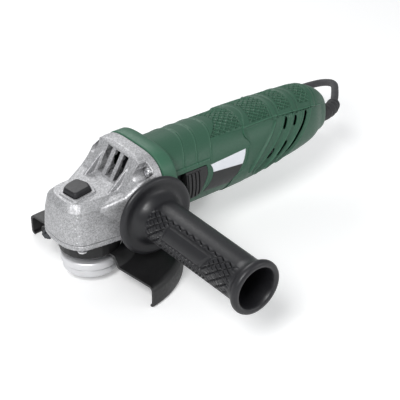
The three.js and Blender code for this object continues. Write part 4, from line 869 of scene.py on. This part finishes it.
# The lock button: its axis, its outline from above, its mean reach, and how far it shrinks at each height
LOCK_PLACE = (-9.6, -3.6, 0)
CAP_REACH = 8.2
CAP_OUTLINE = [
    (-16.9, 2.9), (-15.4, -9.0), (-13.4, -10.3), (-0.2, -7.7), (1.6, -1.1), (-1.6, 7.7), (-3.6, 8.6),
    (-12.2, 6.6),
]
CAP_LEVELS = [(61.9, 0), (65.2, 0), (66.8, -0.5), (67.5, -1.2), (67.6, -1.8)]


def crowned(half, grow):
    """The outline of the plate and of the collar behind it: an arched top and rounded lower corners."""
    wide, high = half[0] + grow, half[1] + grow
    arch = []
    for angle in np.linspace(0, math.pi, 61):
        c, s = math.cos(angle), math.sin(angle)
        arch.append((wide * math.copysign(abs(c) ** (2 / ARCH), c), (high - ARCH_DROP) * s ** (2 / ARCH)))
    corners = rounded([(-wide, 0), (-wide, -high), (wide, -high), (wide, 0)], 0.25 * wide, 10)
    return arch + [corner for corner in corners if corner[1] < -0.5 * high]


def crown_section(x, outline):
    """An outline about the motor's axis as a ring at a place along the body."""
    return [(x, a, size("motor_height") + b) for a, b in outline]


def around_outline(outline, reach, low, high):
    """What lies outside an outline about X, between two places, as a tool to trim with."""
    outer = [(a * reach, b * reach) for a, b in outline]
    corners = ((low, outline), (high, outline), (high, outer), (low, outer))
    return np.vstack([crown_section(*corner) for corner in corners]), bands(4, len(outline), True)


def cap_ring(z, grow):
    """The button's outline grown outwards by a length, at a height."""
    centre = np.mean(CAP_OUTLINE, axis=0)
    corners = [tuple(centre + (np.array(p) - centre) * (1 + grow / CAP_REACH)) for p in CAP_OUTLINE]
    return [(x, y, z) for x, y in rounded(corners, 1.6, 4)]


def headed(name, node, at, kind, radius, height, shank, depth, turn=20):
    """A pan-head screw with a cross recess, its head below the seat at the place given."""
    dome = [(radius * math.sin(a), -0.3 - height * math.cos(a) ** 0.7) for a in np.linspace(0.25, 1.35, 7)]
    profile = [(0, -height - 0.3), *dome, (radius, -0.3), (shank, -0.3), (shank, depth), (0, depth)]
    piece = new_object(name, moved(revolved(profile, 40), standing(kind, at)))
    arm, deep = 0.24 * radius, 0.62 * radius
    for x, y in ((arm, deep), (deep, arm)):
        recess = turned_about_z(block((-x, x), (-y, y), (-height - 2, -0.25 * height)), turn)
        carve(piece, [moved(recess, standing(kind, at))])
    return fitted(piece, "housing", (node,), finish("bright"), 40)


class GRINDER_OT_head(bpy.types.Operator):
    """Make the cast gear head, the bearing cover under it, the lock button and the screws"""
    bl_idname = "grinder.head"
    bl_label = "Gear head"

    def execute(self, context):
        h = size("motor_height")
        shoulders = []
        for side in (-1, 1):
            rings = []
            for x, wide, low, high in SHOULDERS:
                root, face = side * SHOULDER_ROOT, side * wide
                edge = rounded([(root, low), (face, low), (face, high), (root, high - 1)],
                               min(4.5, 0.45 * (wide - SHOULDER_ROOT)), 5)
                rings.append([(x, y, z) for y, z in edge])
            shoulders.append(loft(rings))
        head = new_object("head_blank", node_form("gear_housing"))
        beyond = around_outline(crowned(PLATE_HALF, 0), 1.6, 22, 42)
        carve(head, [beyond, post("Z", LOCK_PLACE, 12, 62.52, 70)])
        stations = ((PLATE_FRONT, -0.8), (PLATE_FRONT + 0.7, 0), (PLATE_BACK, 0))
        plate = loft([crown_section(x, crowned(PLATE_HALF, grow)) for x, grow in stations])
        rim = loft([cap_ring(60, 2.2), cap_ring(63.9, 2.2)])
        head = softened("cast_head", joined(taken(head), plate, *shoulders, rim), 0.42, 2, finish("cast"))
        pockets = [post("X", (0, y, h + z), 4.8, 8, PLATE_FRONT, 40) for y, z in FLANGE_SCREWS]
        slots = [prism(SLOT_SIDE, [row * SLOT_PITCH + SLOT_MIDDLE + side * SLOT_HALF for side in (-1, 1)])
                 for row in (-1, 0, 1)]
        bores = [core(27.5, 31.7, 42), core(14.2, 23.4, 42, 64), post("Z", LOCK_PLACE, 4.6, 51.4, 60)]
        seat = loft([cap_ring(58.6, 0.4), cap_ring(70, 0.4)])
        carve(head, [*pockets, *slots, prism(DUCT_SIDE, DUCT_WIDTH), *bores, seat])
        fitted(head, "housing", ("gear_housing",), angle=60)
        cover = softened("cast_cover", node_form("bearing_cover"), 0.5, 3, finish("cast"))
        fitted(cover, "housing", ("bearing_cover",), angle=60)
        cap = loft([cap_ring(*level) for level in CAP_LEVELS])
        button = softened("lock_cap", cap, 0.2, 2, finish("handle"))
        fitted(button, "lock", ("lock_button",), angle=60)
        for i, (y, z) in enumerate(FLANGE_SCREWS, 1):
            headed(f"flange_screw_{i}", f"head_screw_{i}", (PLATE_FRONT, y, h + z), "X", **FLANGE_HEAD)
        for i, (x, y) in enumerate(COVER_SCREWS, 1):
            headed(f"band_screw_{i}", f"cover_screw_{i}", (x, y, COVER_UNDERSIDE), "Z", **COVER_HEAD)
        return {"FINISHED"}


# Profiles of radius and height
FLANGE_PROFILE = [
    (7.1, 4.8), (11, 4.8), (11, 6.3), (20.9, 6.3), (21.7, 7.1), (21.7, 11.7), (20.9, 12.5), (7.1, 12.5),
]
NUT_PROFILE = [(7.1, 0), (19.5, 0), (20.5, 1), (20.5, 5.5), (20, 6), (11.3, 6), (11.3, 4.2), (7.1, 4.2)]
PIN_HOLE_PLACE = 15


class GRINDER_OT_spindle_nose(bpy.types.Operator):
    """Make the turned inner flange and the outer nut"""
    bl_idname = "grinder.spindle_nose"
    bl_label = "Flange and nut"

    def execute(self, context):
        piece = new_object("turned_flange", revolved(soft_profile(FLANGE_PROFILE, 0.35), 160))
        fitted(piece, "inner_flange", ("inner_flange",), finish("turned"))
        piece = new_object("turned_nut", revolved(soft_profile(NUT_PROFILE, 0.35), 160))
        carve(piece, [post("Z", (0, place, 0), 2.6, -4, 4) for place in (-PIN_HOLE_PLACE, PIN_HOLE_PLACE)])
        fitted(piece, "outer_nut", ("outer_nut",), finish("turned"))
        return {"FINISHED"}


# The guard's sheet, the bend between its top and its skirt, and its top's height
GUARD_SHEET = 1.8
GUARD_BEND = 4.5
GUARD_TOP = 12


class GRINDER_OT_guard(bpy.types.Operator):
    """Make the coated guard with its rolled lip, and the clamp round the neck with its screw"""
    bl_idname = "grinder.guard"
    bl_label = "Guard and clamp"

    def execute(self, context):
        radius, sheet, bend = size("guard_radius"), GUARD_SHEET, GUARD_BEND
        lowest, high = size("floor_level"), GUARD_TOP
        corner = (radius - bend, high - bend)
        profile = [
            (22.9, 17.8), (26.7, 17.8), (31.2, high - sheet), *arc(corner, bend - sheet, 90, 0, 10),
            (radius - sheet, lowest + 2 * sheet), (radius - 1.3 * sheet, lowest + 1.15 * sheet),
            (63.6, lowest + sheet), (63.6, lowest), (radius - 1.6 * sheet, lowest),
            (radius - 0.5, lowest + 0.9), (radius, lowest + 2.4), *arc(corner, bend, 0, 90, 14), (33, high),
            (28.5, 19.6), (22.9, 19.6),
        ]
        piece = new_object("coated_guard", revolved(soft_profile(profile, 0.8, 2), 220))
        keep = turned_about_z(block((-2, 150), (-150, 150), (-60, 60)), 8)
        carve(piece, [keep], "INTERSECT")
        fitted(piece, "guard", ("guard",), finish("coat"), 40)
        clamp = softened("clamp_band", node_form("guard_clamp"), 0.4, 4, finish("coat"))
        fitted(clamp, "guard", ("guard_clamp",), angle=60)
        for node, name in (("clamp_screw", "clamp_bolt"), ("clamp_nut", "clamp_hexagon")):
            piece = bevelled(name, node_form(node), 0.35, finish("dark"))
            fitted(piece, "guard", (node,))
        return {"FINISHED"}


# Plastic body

# Powers of the barrel's section and of the rear cover's section
BARREL_POWER = 2.1
COVER_POWER = 2.3
# Sections of the rear cover from the seam to the tail: place, half width, upper and lower half height, drop
COVER_SHARES = [
    (-0.16, 1, 1.005, 0.995, 0), (0.2, 0.985, 1.0, 0.93, 0), (0.4, 0.935, 1.0, 0.83, 0),
    (0.6, 0.855, 0.99, 0.745, 0), (0.76, 0.7, 0.955, 0.665, 0), (0.88, 0.45, 0.78, 0.52, 0.045),
    (0.95, 0.3, 0.58, 0.41, 0.095), (1, 0.2, 0.42, 0.33, 0.14),
]
COVER_END = 226.0
# The screw that holds the cover from below: its place, and its seat's depth under the motor's axis
BOLT_PLACE = 133
BOLT_DEPTH = 27.8
BOLT_HEAD = {"radius": 3.2, "height": 1.3, "shank": 1.5, "depth": 3.5}
# The seam from below upwards, in barrel radii: height over the motor's axis, place from seam_place
SEAM_SHARES = [
    (-1.3, -0.5), (-0.8, -0.44), (-0.37, -0.34), (-0.08, -0.01), (0.34, 0.17), (0.46, 0.24), (0.67, 0.13),
    (0.87, 0.3), (1, 0.5), (1.3, 0.86),
]
# Each vent channel from the shoulder line down and forward: start, pull and end of its curve
VENT_LINES = [
    ((170.5, 72.6), (159.5, 58.5), (141.5, 42.8)), ((181.0, 72.0), (171.5, 57.5), (153.0, 42.8)),
    ((192.6, 70.8), (182.5, 56.0), (164.5, 43.5)),
]
# Which shares of each channel are open
OPEN_SHARES = [[(0.04, 0.29), (0.68, 0.88)], [(0.06, 0.28), (0.61, 0.94)], [(0.03, 0.97)]]
VENT_WIDTH = 3.1
# The shoulder line along the cover's side, and the curved rib that leaves it down and forward
SHOULDER_LINE = [
    (110, 76.2), (129, 75.7), (145, 75.6), (158.5, 75.2), (178.4, 73.6), (198.9, 71.2), (216.4, 65.4),
    (228, 60),
]
RIB_LINE = [
    (158.8, 75.6), (156.9, 73.2), (151.6, 68.6), (145.0, 62.4), (137.8, 55.4), (131.2, 47.6), (126, 39),
]
# Arcs across the top of the body: place at the crown, and how far each bows forward at the sides
TOP_ARCS = [(162.0, 0.0095), (183.0, 0.0105), (205.0, 0.015)]
# Crosshatched panels on the rear cover: first and last edge, each with its bow
COVER_PANELS = [
    (138.5, 0.0148, 158.4, 0.0145), (168.5, 0.0165, 179.8, 0.0128), (189.8, 0.018, 201.2, 0.0145),
]
HOUSING_PANEL = (109.5, 0.043, 128.6, 0.0065)
# The motor housing's ridge lines at the crown, the rear edge of the raised pad round the switch as height
# over the motor's axis and place, and a groove along its side as place and height
RIDGE_PLACES = (75.2, 86.8, 100.0)
PAD_EDGE = [(-17, 75), (-13.5, 79), (4, 86.6), (13.9, 88.6)]
SIDE_GROOVE = [(104.0, 23.6), (128.0, 22.9)]


def body_ring(x, half_width, up, down, drop, exponent, steps):
    """A section of the plastic body, a little squarer than an ellipse."""
    angles = np.linspace(0, FULL, steps, endpoint=False)
    power = 2 / exponent
    c, s = np.cos(angles), np.sin(angles)
    y = half_width * np.sign(c) * np.abs(c) ** power
    z = np.where(s > 0, up, down) * np.sign(s) * np.abs(s) ** power
    return np.c_[np.full(steps, x), y, size("motor_height") - drop + z]


def barrel_ring(x, grow, steps):
    r = size("barrel_radius") + grow
    return body_ring(x, r, r, r, 0, BARREL_POWER, steps)


def cover_section(x):
    """Half width, upper and lower half height and drop of the rear cover at a place, in millimetres."""
    seam, end, r = size("seam_place"), size("tail_end"), size("barrel_radius")
    share = min(1, (x - seam) / (end - seam))
    table = np.array(COVER_SHARES)
    k = int(np.clip(np.searchsorted(table[:, 0], share) - 1, 0, len(table) - 2))
    slopes = np.gradient(table[:, 1:], table[:, 0], axis=0)
    wide = table[k + 1, 0] - table[k, 0]
    t = np.clip((share - table[k, 0]) / wide, 0, 1)
    return hermite(table[k, 1:], slopes[k] * wide, table[k + 1, 1:], slopes[k + 1] * wide, t) * r


def seam_form(direction):
    """Everything in front of the seam, or behind it, as a tool to cut with."""
    r, h, middle = size("barrel_radius"), size("motor_height"), size("seam_place")
    edge = [(middle + x * r + direction * 0.2, h + z * r) for z, x in smooth_line(SEAM_SHARES, 6)]
    far = middle - direction * 5 * r
    return prism([(far, edge[0][1]), *edge, (far, edge[-1][1])], (-2.2 * r, 2.2 * r))


def vent_forms():
    """The open slots, as tools that pass through either side wall."""
    r = size("barrel_radius")
    for points, stretches in zip(VENT_LINES, OPEN_SHARES):
        line = bezier(*points)
        for low, high in stretches:
            run = line[round(low * (len(line) - 1)):round(high * (len(line) - 1)) + 1]
            ahead = np.gradient(run, axis=0)
            ahead /= np.linalg.norm(ahead, axis=1)[:, None]
            normal = np.c_[-ahead[:, 1], ahead[:, 0]] * VENT_WIDTH / 2
            count = np.arange(len(run))
            normal *= np.minimum(1, np.minimum(count, count[::-1]) / 2 + 0.45)[:, None]
            outline = np.vstack([run + normal, (run - normal)[::-1]])
            yield prism(outline, (-1.5 * r, -0.3 * r))
            yield prism(outline, (0.3 * r, 1.5 * r))


def net(x, across, pitch):
    """Thin crossed ridges that leave diamond pits; pitch is the diamonds' length and breadth."""
    first, second = (np.abs((x / pitch[0] + sign * across / pitch[1]) % 1 - 0.5) * 2 for sign in (1, -1))
    return np.maximum(step(first, 0.8, 0.26), step(second, 0.8, 0.26))


def panel_relief(x, y, z, panel, reach=17.5):
    """The depth of a crosshatched panel let into the top of the body."""
    first, first_bow, last, last_bow = panel
    inside = (window(x, first - first_bow * y * y, last - last_bow * y * y, 0.9)
              * (1 - step(np.abs(y), reach, 0.9)) * step(z, size("motor_height"), 2))
    around = np.arcsin(np.clip(y / size("barrel_radius"), -1, 1)) * size("barrel_radius")
    return inside * (-0.85 + 0.95 * net(x, around, (5.4, 4.8)))


def arc_relief(x, y, z, crown, bow):
    """A raised band across the top between two fine grooves."""
    gap = x - (crown - bow * y * y)
    top = step(z, size("motor_height") + 17, 3)
    return top * (0.4 * bump(gap, 2.2) - 0.6 * bump(gap - 2.9, 0.9) - 0.6 * bump(gap + 2.9, 0.9))


def housing_relief(x, y, z):
    """Ridge lines, the step round the switch and the first grip panel on the motor housing."""
    h = size("motor_height")
    lift = np.zeros(len(x))
    for crown in RIDGE_PLACES:
        gap = x - (crown - 0.0145 * y * y)
        lift += step(z, h + 12, 4) * (0.5 * bump(gap, 0.75) - 0.35 * bump(gap - 1.1, 0.5))
    heights, places = np.array(PAD_EDGE).T
    between = window(z, h + heights[0], h + heights[-1], 0.8)
    pad = between * (1 - step(x, np.interp(z - h, heights, places), 0.8)) * (y < 0)
    lift += 0.95 * pad + panel_relief(x, y, z, HOUSING_PANEL)
    gap, along = distance_to_line(x, z, np.array(SIDE_GROOVE) + (0, h))
    lift -= 0.35 * bump(gap, 0.7) * (along > 0) * (along < 1)
    return lift


def cover_relief(x, y, z):
    """Grip panels, arcs, the shoulder line, the curved rib and the vent channels of the rear cover."""
    h, r = size("motor_height"), size("barrel_radius")
    shoulder = np.interp(x, *np.array(SHOULDER_LINE).T)
    below = 1 - step(z, shoulder, 0.7)
    fade = step(x, 126, 6) * (1 - step(x, 218, 8))
    lift = fade * (-0.9 * below * step(z, h - 20, 16) + 0.55 * bump(z - shoulder - 0.3, 0.8))
    for panel in COVER_PANELS:
        lift += panel_relief(x, y, z, panel, 18.2 - 0.045 * (panel[0] - 138))
    for crown, bow in TOP_ARCS:
        lift += arc_relief(x, y, z, crown, bow) * (z > shoulder - 1)
    gap, along = distance_to_line(x, z, smooth_line(RIB_LINE, 5))
    lift += 1.5 * bump(gap, 1.5) * (1 - step(along, 0.97, 0.06)) * (1 - 0.8 * step(z, shoulder - 2.5, 2))
    for points in VENT_LINES:
        line = bezier(*points)
        run = np.vstack([line, line[-1] + (line[-1] - line[-2]) * 4])
        gap, along = distance_to_line(x, z, run)
        side = (z < shoulder - 0.5) * (z > h - r * 0.8)
        lift += side * (-0.9 * (1 - step(gap, 2.0, 1.2)) + 0.8 * bump(gap - 3.9, 1.2))
    return lift


# The collar behind the head's plate: half width and half height, and how far it shrinks at each place
COLLAR_HALF = (36.4, 35)
COLLAR_STEPS = [
    (41.0, -1.0), (41.25, -0.4), (41.8, 0), (50.8, 0), (51.9, -0.35), (53, -1.2), (54, -2.6), (54.8, -3.9),
    (55.2, -4.8),
]
# The neck that goes on into the rear cover, and the wall round the rear bearing's sleeve as a profile
NECK_RADIUS = 26.4
NECK_END = 141.3
BEARING_CUP = [(13.4, 125), (15.6, 125), (15.6, NECK_END), (5, NECK_END), (5, 139.8), (13.4, 139.8)]
# Outlines round the slide switch, along the body and up from the motor's axis
SWITCH_OPENING = [
    (57.6, 11.05), (84.45, 11.05), (84.85, 4.6), (77.4, -11.4), (74.7, -13.05), (57.6, -13.05),
]
SWITCH_SLIDER = [(65.2, 10.6), (84, 10.6), (84.4, 4.6), (77, -11.2), (74.5, -12.6), (65.2, -12.6)]
SWITCH_INSIDE = [(65.7, 9.3), (82.6, 9.3), (83, 4.3), (75.9, -10.6), (74, -11.3), (65.7, -11.3)]
# The upright ribs on the slide
RIB_PITCH = 11.8 / 3.6
FIRST_RIB = 65.2 + 0.62 * RIB_PITCH
# Front and rear edge of the label: start, pull and end of each curve
LABEL_EDGES = [((82.0, 41.4), (93.8, 54.2), (88.3, 61.8)), ((108.6, 39.0), (118.8, 51.9), (121.9, 63.4))]
LABEL_CELLS = 48


def switch_prism(outline, radius, count):
    """An outline round the slide switch, drawn out through the barrel's side."""
    corners = [(x, size("motor_height") + z) for x, z in outline]
    return prism(rounded(corners, radius, count), (-60, -22.6))


class GRINDER_OT_motor_housing(bpy.types.Operator):
    """Make the motor housing with its collar, ridge lines, switch opening, grip panel and plain label"""
    bl_idname = "grinder.motor_housing"
    bl_label = "Motor housing"

    def execute(self, context):
        h, r = size("motor_height"), size("barrel_radius")
        rows = np.arange(52.7, 151, 0.5)
        barrel = new_object("green_housing", loft([barrel_ring(x, 0, 360) for x in rows]))
        shaped(barrel, housing_relief)
        carve(barrel, [seam_form(-1)])
        collar = loft([crown_section(x, crowned(COLLAR_HALF, grow)) for x, grow in COLLAR_STEPS])
        carve(barrel, [collar, core(NECK_RADIUS, 104, NECK_END)], "UNION")
        rod_channel = block((60, 150), (-27.3, -23.4), (h - 3.9, h + 3.9))
        hollow = core(r - size("barrel_wall"), 35, 104.3)
        opening = switch_prism(SWITCH_OPENING, 1.4, 4)
        carve(barrel, [core(29, 35, 50.2), hollow, core(NECK_RADIUS - 2, 60, 148), opening, rod_channel])
        carve(barrel, [moved(revolved(BEARING_CUP, 64), standing("X", (0, 0, h)))], "UNION")
        fitted(barrel, "housing", ("motor_housing",), finish("green"), 38)

        left, right = (bezier(*edge, LABEL_CELLS) for edge in LABEL_EDGES)
        spots = []
        for reach in (r - 0.35, r + 0.14):
            for a, b in zip(left, right):
                for t in np.linspace(0, 1, LABEL_CELLS + 1):
                    x, z = a * (1 - t) + b * t
                    out = (reach ** BARREL_POWER - abs(z - h) ** BARREL_POWER) ** (1 / BARREL_POWER)
                    spots.append((x, -out, z))
        wide = LABEL_CELLS + 1
        layer, cells = wide * wide, range(LABEL_CELLS)
        faces = [(k, k + 1, k + wide + 1, k + wide)
                 for k in (base + i * wide + j for base in (0, layer) for i in cells for j in cells)]
        rim = [*cells, *[i * wide + LABEL_CELLS for i in cells]]
        rim += [layer - 1 - k for k in cells] + [(i + 1) * wide for i in reversed(cells)]
        faces += [(a, b, b + layer, a + layer) for a, b in zip(rim, rim[1:] + rim[:1])]
        label = new_object("plain_label", (np.array(spots), faces))
        fitted(label, "housing", (), finish("label"))
        return {"FINISHED"}


class GRINDER_OT_rear_cover(bpy.types.Operator):
    """Make the rear cover with its grip panels, arcs, curved rib and vent slots"""
    bl_idname = "grinder.rear_cover"
    bl_label = "Rear cover"

    def execute(self, context):
        h, end = size("motor_height"), COVER_END
        rings = []
        for x in np.arange(102, end + 0.01, 0.4):
            wide, up, down, drop = cover_section(x)
            closing = 1.6 * (1 - math.sqrt(1 - min(1, max(0, (x - end + 2.4) / 2.4)) ** 2))
            rings.append(body_ring(x, wide - closing, up - closing, down - closing, drop, COVER_POWER, 460))
        cover = new_object("green_cover", loft(rings))
        shaped(cover, cover_relief)
        inner = []
        for x in np.linspace(98, end - 2.4, 60):
            wide, up, down, drop = cover_section(x + 1.5 * max(0, x - 200) / 24)
            inner.append(body_ring(x, wide - 2.2, up - 2.4, down - 2.4, drop, COVER_POWER, 96))
        foot, seat = (BOLT_PLACE, 0, 0), h - BOLT_DEPTH
        carve(cover, [
            loft(inner), seam_form(1), core(NECK_RADIUS + 0.3, 90, 137.5),
            post("X", (0, 0, size("tail_height")), 6.8, end - 3.8, end + 4),
            post("Z", foot, 3.5, 0, seat, 32), post("Z", foot, 1.8, 0, h, 24), *vent_forms(),
        ])
        fitted(cover, "housing", ("rear_cover",), finish("green"), 38)
        headed("cover_bolt", "cover_fixing_screw", (BOLT_PLACE, 0, seat), "Z", **BOLT_HEAD)
        return {"FINISHED"}


class GRINDER_OT_switch(bpy.types.Operator):
    """Make the slide switch with its upright ribs"""
    bl_idname = "grinder.switch"
    bl_label = "Slide switch"

    def execute(self, context):
        h = size("motor_height")
        piece = new_object("switch_slide", switch_prism(SWITCH_SLIDER, 1.4, 5))
        carve(piece, [loft([barrel_ring(x, 1.2, 240) for x in (60, 90)])], "INTERSECT")
        outside = loft([barrel_ring(x, 2.3, 240) for x in (60, 90)])
        for i in range(4):
            x = FIRST_RIB + i * RIB_PITCH
            rib = new_object("rib", switch_prism(SWITCH_INSIDE, 1.0, 4))
            carve(rib, [block((x - 1.1, x + 1.1), (-60, 0), (h - 20, h + 20)), outside], "INTERSECT")
            carve(piece, [taken(rib)], "UNION")
        carve(piece, [block((73.7, 90), (-25.5, -20), (h - 3.8, h + 3.8))])
        piece = softened("switch_slide_soft", taken(piece), 0.2, 3, finish("switch"))
        fitted(piece, "switch", ("switch_slider",), angle=50)
        return {"FINISHED"}


# Side handle

# How far the handle's disc stands off the spindle's axis
HANDLE_BOSS = 38.6


def handle_relief(x, y, z):
    """The net, the smooth raised pad and the chevrons, on two opposite sides of the grip."""
    along = -y - HANDLE_BOSS
    rise, run = z - size("handle_height"), x - size("handle_place")
    angle = np.degrees(np.arctan2(rise, run)) % 180
    # Angles run from the top over the front, 118 to 212 degrees, and again half a turn on
    turn = np.where(angle < 60, angle + 180, angle)
    across = np.radians(turn - 152) * 15.5
    outside = step(np.hypot(run, rise), 13.6, 1)

    def patch(low, high, start, end):
        return window(across, low, high, 1) * window(along, start, end, 1)
    skew = across * 0.32
    pad = patch(-4.6, 5.6, 33.0 - skew, 72.5 - 2.2 * skew)
    around = patch(-6.4, 7.4, 30.6 - skew, 75.2 - 2.2 * skew)
    field = patch(-9.0, 16.3, 14.2, 97.2)
    chevron = np.abs(((along + 0.9 * np.abs(across - 11.5)) / 3.4) % 1 - 0.5) * 2
    weave = net(along - 1.2 * skew, across, (7.2, 4.6))
    grooves = np.where((across > 7.4) & (along > 30) & (along < 76), step(chevron, 0.62, 0.3), weave)
    return outside * field * ((1 - around) * (0.15 - 0.95 * grooves) + around * (-0.8 + 1.1 * pad))


class GRINDER_OT_side_handle(bpy.types.Operator):
    """Make the hollow side handle with its dished disc, textured grip and rolled end"""
    bl_idname = "grinder.side_handle"
    bl_label = "Side handle"

    def execute(self, context):
        tube = [(15.8 - 0.7 * (place - 13) / 81, place) for place in np.arange(13.5, 96, 0.5)]
        profile = [
            (5.2, 0), (12, 0), (20, 0.9), (26.8, 1.5), (28.4, 1.75), (29.15, 2.3), (29.4, 3.2), (29.1, 4.3),
            (28.2, 5.3), (26.6, 5.75), (24.5, 5.5), (22.3, 5.25), (20.6, 5.6), (19.2, 6.5), (18.1, 7.8),
            (17.2, 9.4), (16.5, 11), (16.05, 12.4), *tube, (15.2, 97), (15.5, 98.6), (16.0, 100.2),
            (16.7, 101.7), (17.5, 103), (18.3, 104.1), (18.8, 105.2), (18.9, 106.3), (18.75, 107.4),
            (18.3, 108.3), (17.5, 108.85), (16.5, 109), (15.5, 108.85), (14.8, 108.4), (14.35, 107.6),
            (14.0, 105.5), (13.8, 102.5), (13.7, 98), (12.9, 60), (12.6, 40), (11.6, 37), (0, 37), (0, 24),
            (5.2, 24),
        ]
        at = (size("handle_place"), -HANDLE_BOSS, size("handle_height"))
        piece = new_object("black_handle", moved(revolved(profile, 320), standing("OUT", at)))
        shaped(piece, handle_relief)
        fitted(piece, "side_handle", ("side_handle",), finish("handle"), 45)
        return {"FINISHED"}


# CAD nodes that keep their shape

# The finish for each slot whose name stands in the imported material's name
SLOT_FINISH = {
    "cast_aluminium": "cast", "bright_steel": "bright", "dark_steel": "dark", "black_paint": "coat",
    "green_plastic": "green", "black_plastic": "inner", "black_rubber": "rubber", "copper": "copper",
    "brass": "brass", "carbon": "carbon", "white_plastic": "white",
}
# These pieces take the dark inner plastic in place of their own colour (the capacitor is white): painted
# shade for the inside of the body seen through the vents.
SHADE_DARKENED_PIECES = ("fan", "capacitor", "switch_rod")


class GRINDER_OT_inner_pieces(bpy.types.Operator):
    """Give every CAD piece that keeps its shape its own procedural finish"""
    bl_idname = "grinder.inner_pieces"
    bl_label = "Inner pieces"

    def execute(self, context):
        for name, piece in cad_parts.items():
            old = piece.material_slots[0].material.name if piece.material_slots else ""
            kind = next((kind for slot, kind in SLOT_FINISH.items() if slot in old), "dark")
            # Painted shade: these inner pieces are darkened.
            if name in SHADE_DARKENED_PIECES:
                kind = "inner"
            if not piece.material_slots:
                piece.data.materials.append(finish(kind))
            for slot in piece.material_slots:
                slot.material = finish(kind)
        return {"FINISHED"}


STEPS = (
    GRINDER_OT_stage, GRINDER_OT_cord, GRINDER_OT_inner_pieces, GRINDER_OT_head, GRINDER_OT_spindle_nose,
    GRINDER_OT_guard, GRINDER_OT_motor_housing, GRINDER_OT_rear_cover, GRINDER_OT_switch,
    GRINDER_OT_side_handle,
)


class GRINDER_PT_panel(bpy.types.Panel):
    """Lists the grinder's sizes, colours and pieces"""
    bl_idname = "GRINDER_PT_panel"
    bl_label = "Angle grinder"
    bl_space_type = "VIEW_3D"
    bl_region_type = "UI"
    bl_category = "Grinder"

    def draw(self, context):
        for group in (context.scene.grinder_sizes, context.scene.grinder_colours):
            box = self.layout.box()
            for name in group.__annotations__:
                box.prop(group, name)
        column = self.layout.column()
        for operator in STEPS:
            column.operator(operator.bl_idname)


CLASSES = (GrinderSizes, GrinderColours, *STEPS, GRINDER_PT_panel)


def register():
    for entry in CLASSES:
        bpy.utils.register_class(entry)
    bpy.types.Scene.grinder_sizes = bpy.props.PointerProperty(type=GrinderSizes)
    bpy.types.Scene.grinder_colours = bpy.props.PointerProperty(type=GrinderColours)


def unregister():
    del bpy.types.Scene.grinder_colours
    del bpy.types.Scene.grinder_sizes
    for entry in reversed(CLASSES):
        bpy.utils.unregister_class(entry)


def main():
    register()
    for operator in STEPS:
        family, name = operator.bl_idname.split(".")
        getattr(getattr(bpy.ops, family), name)()
    boxes = {"cad": CAD_BOX, "visual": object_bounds()}
    {key: [[float(v) for v in corner] for corner in box] for key, box in boxes.items()}


if __name__ == "__main__":
    main()
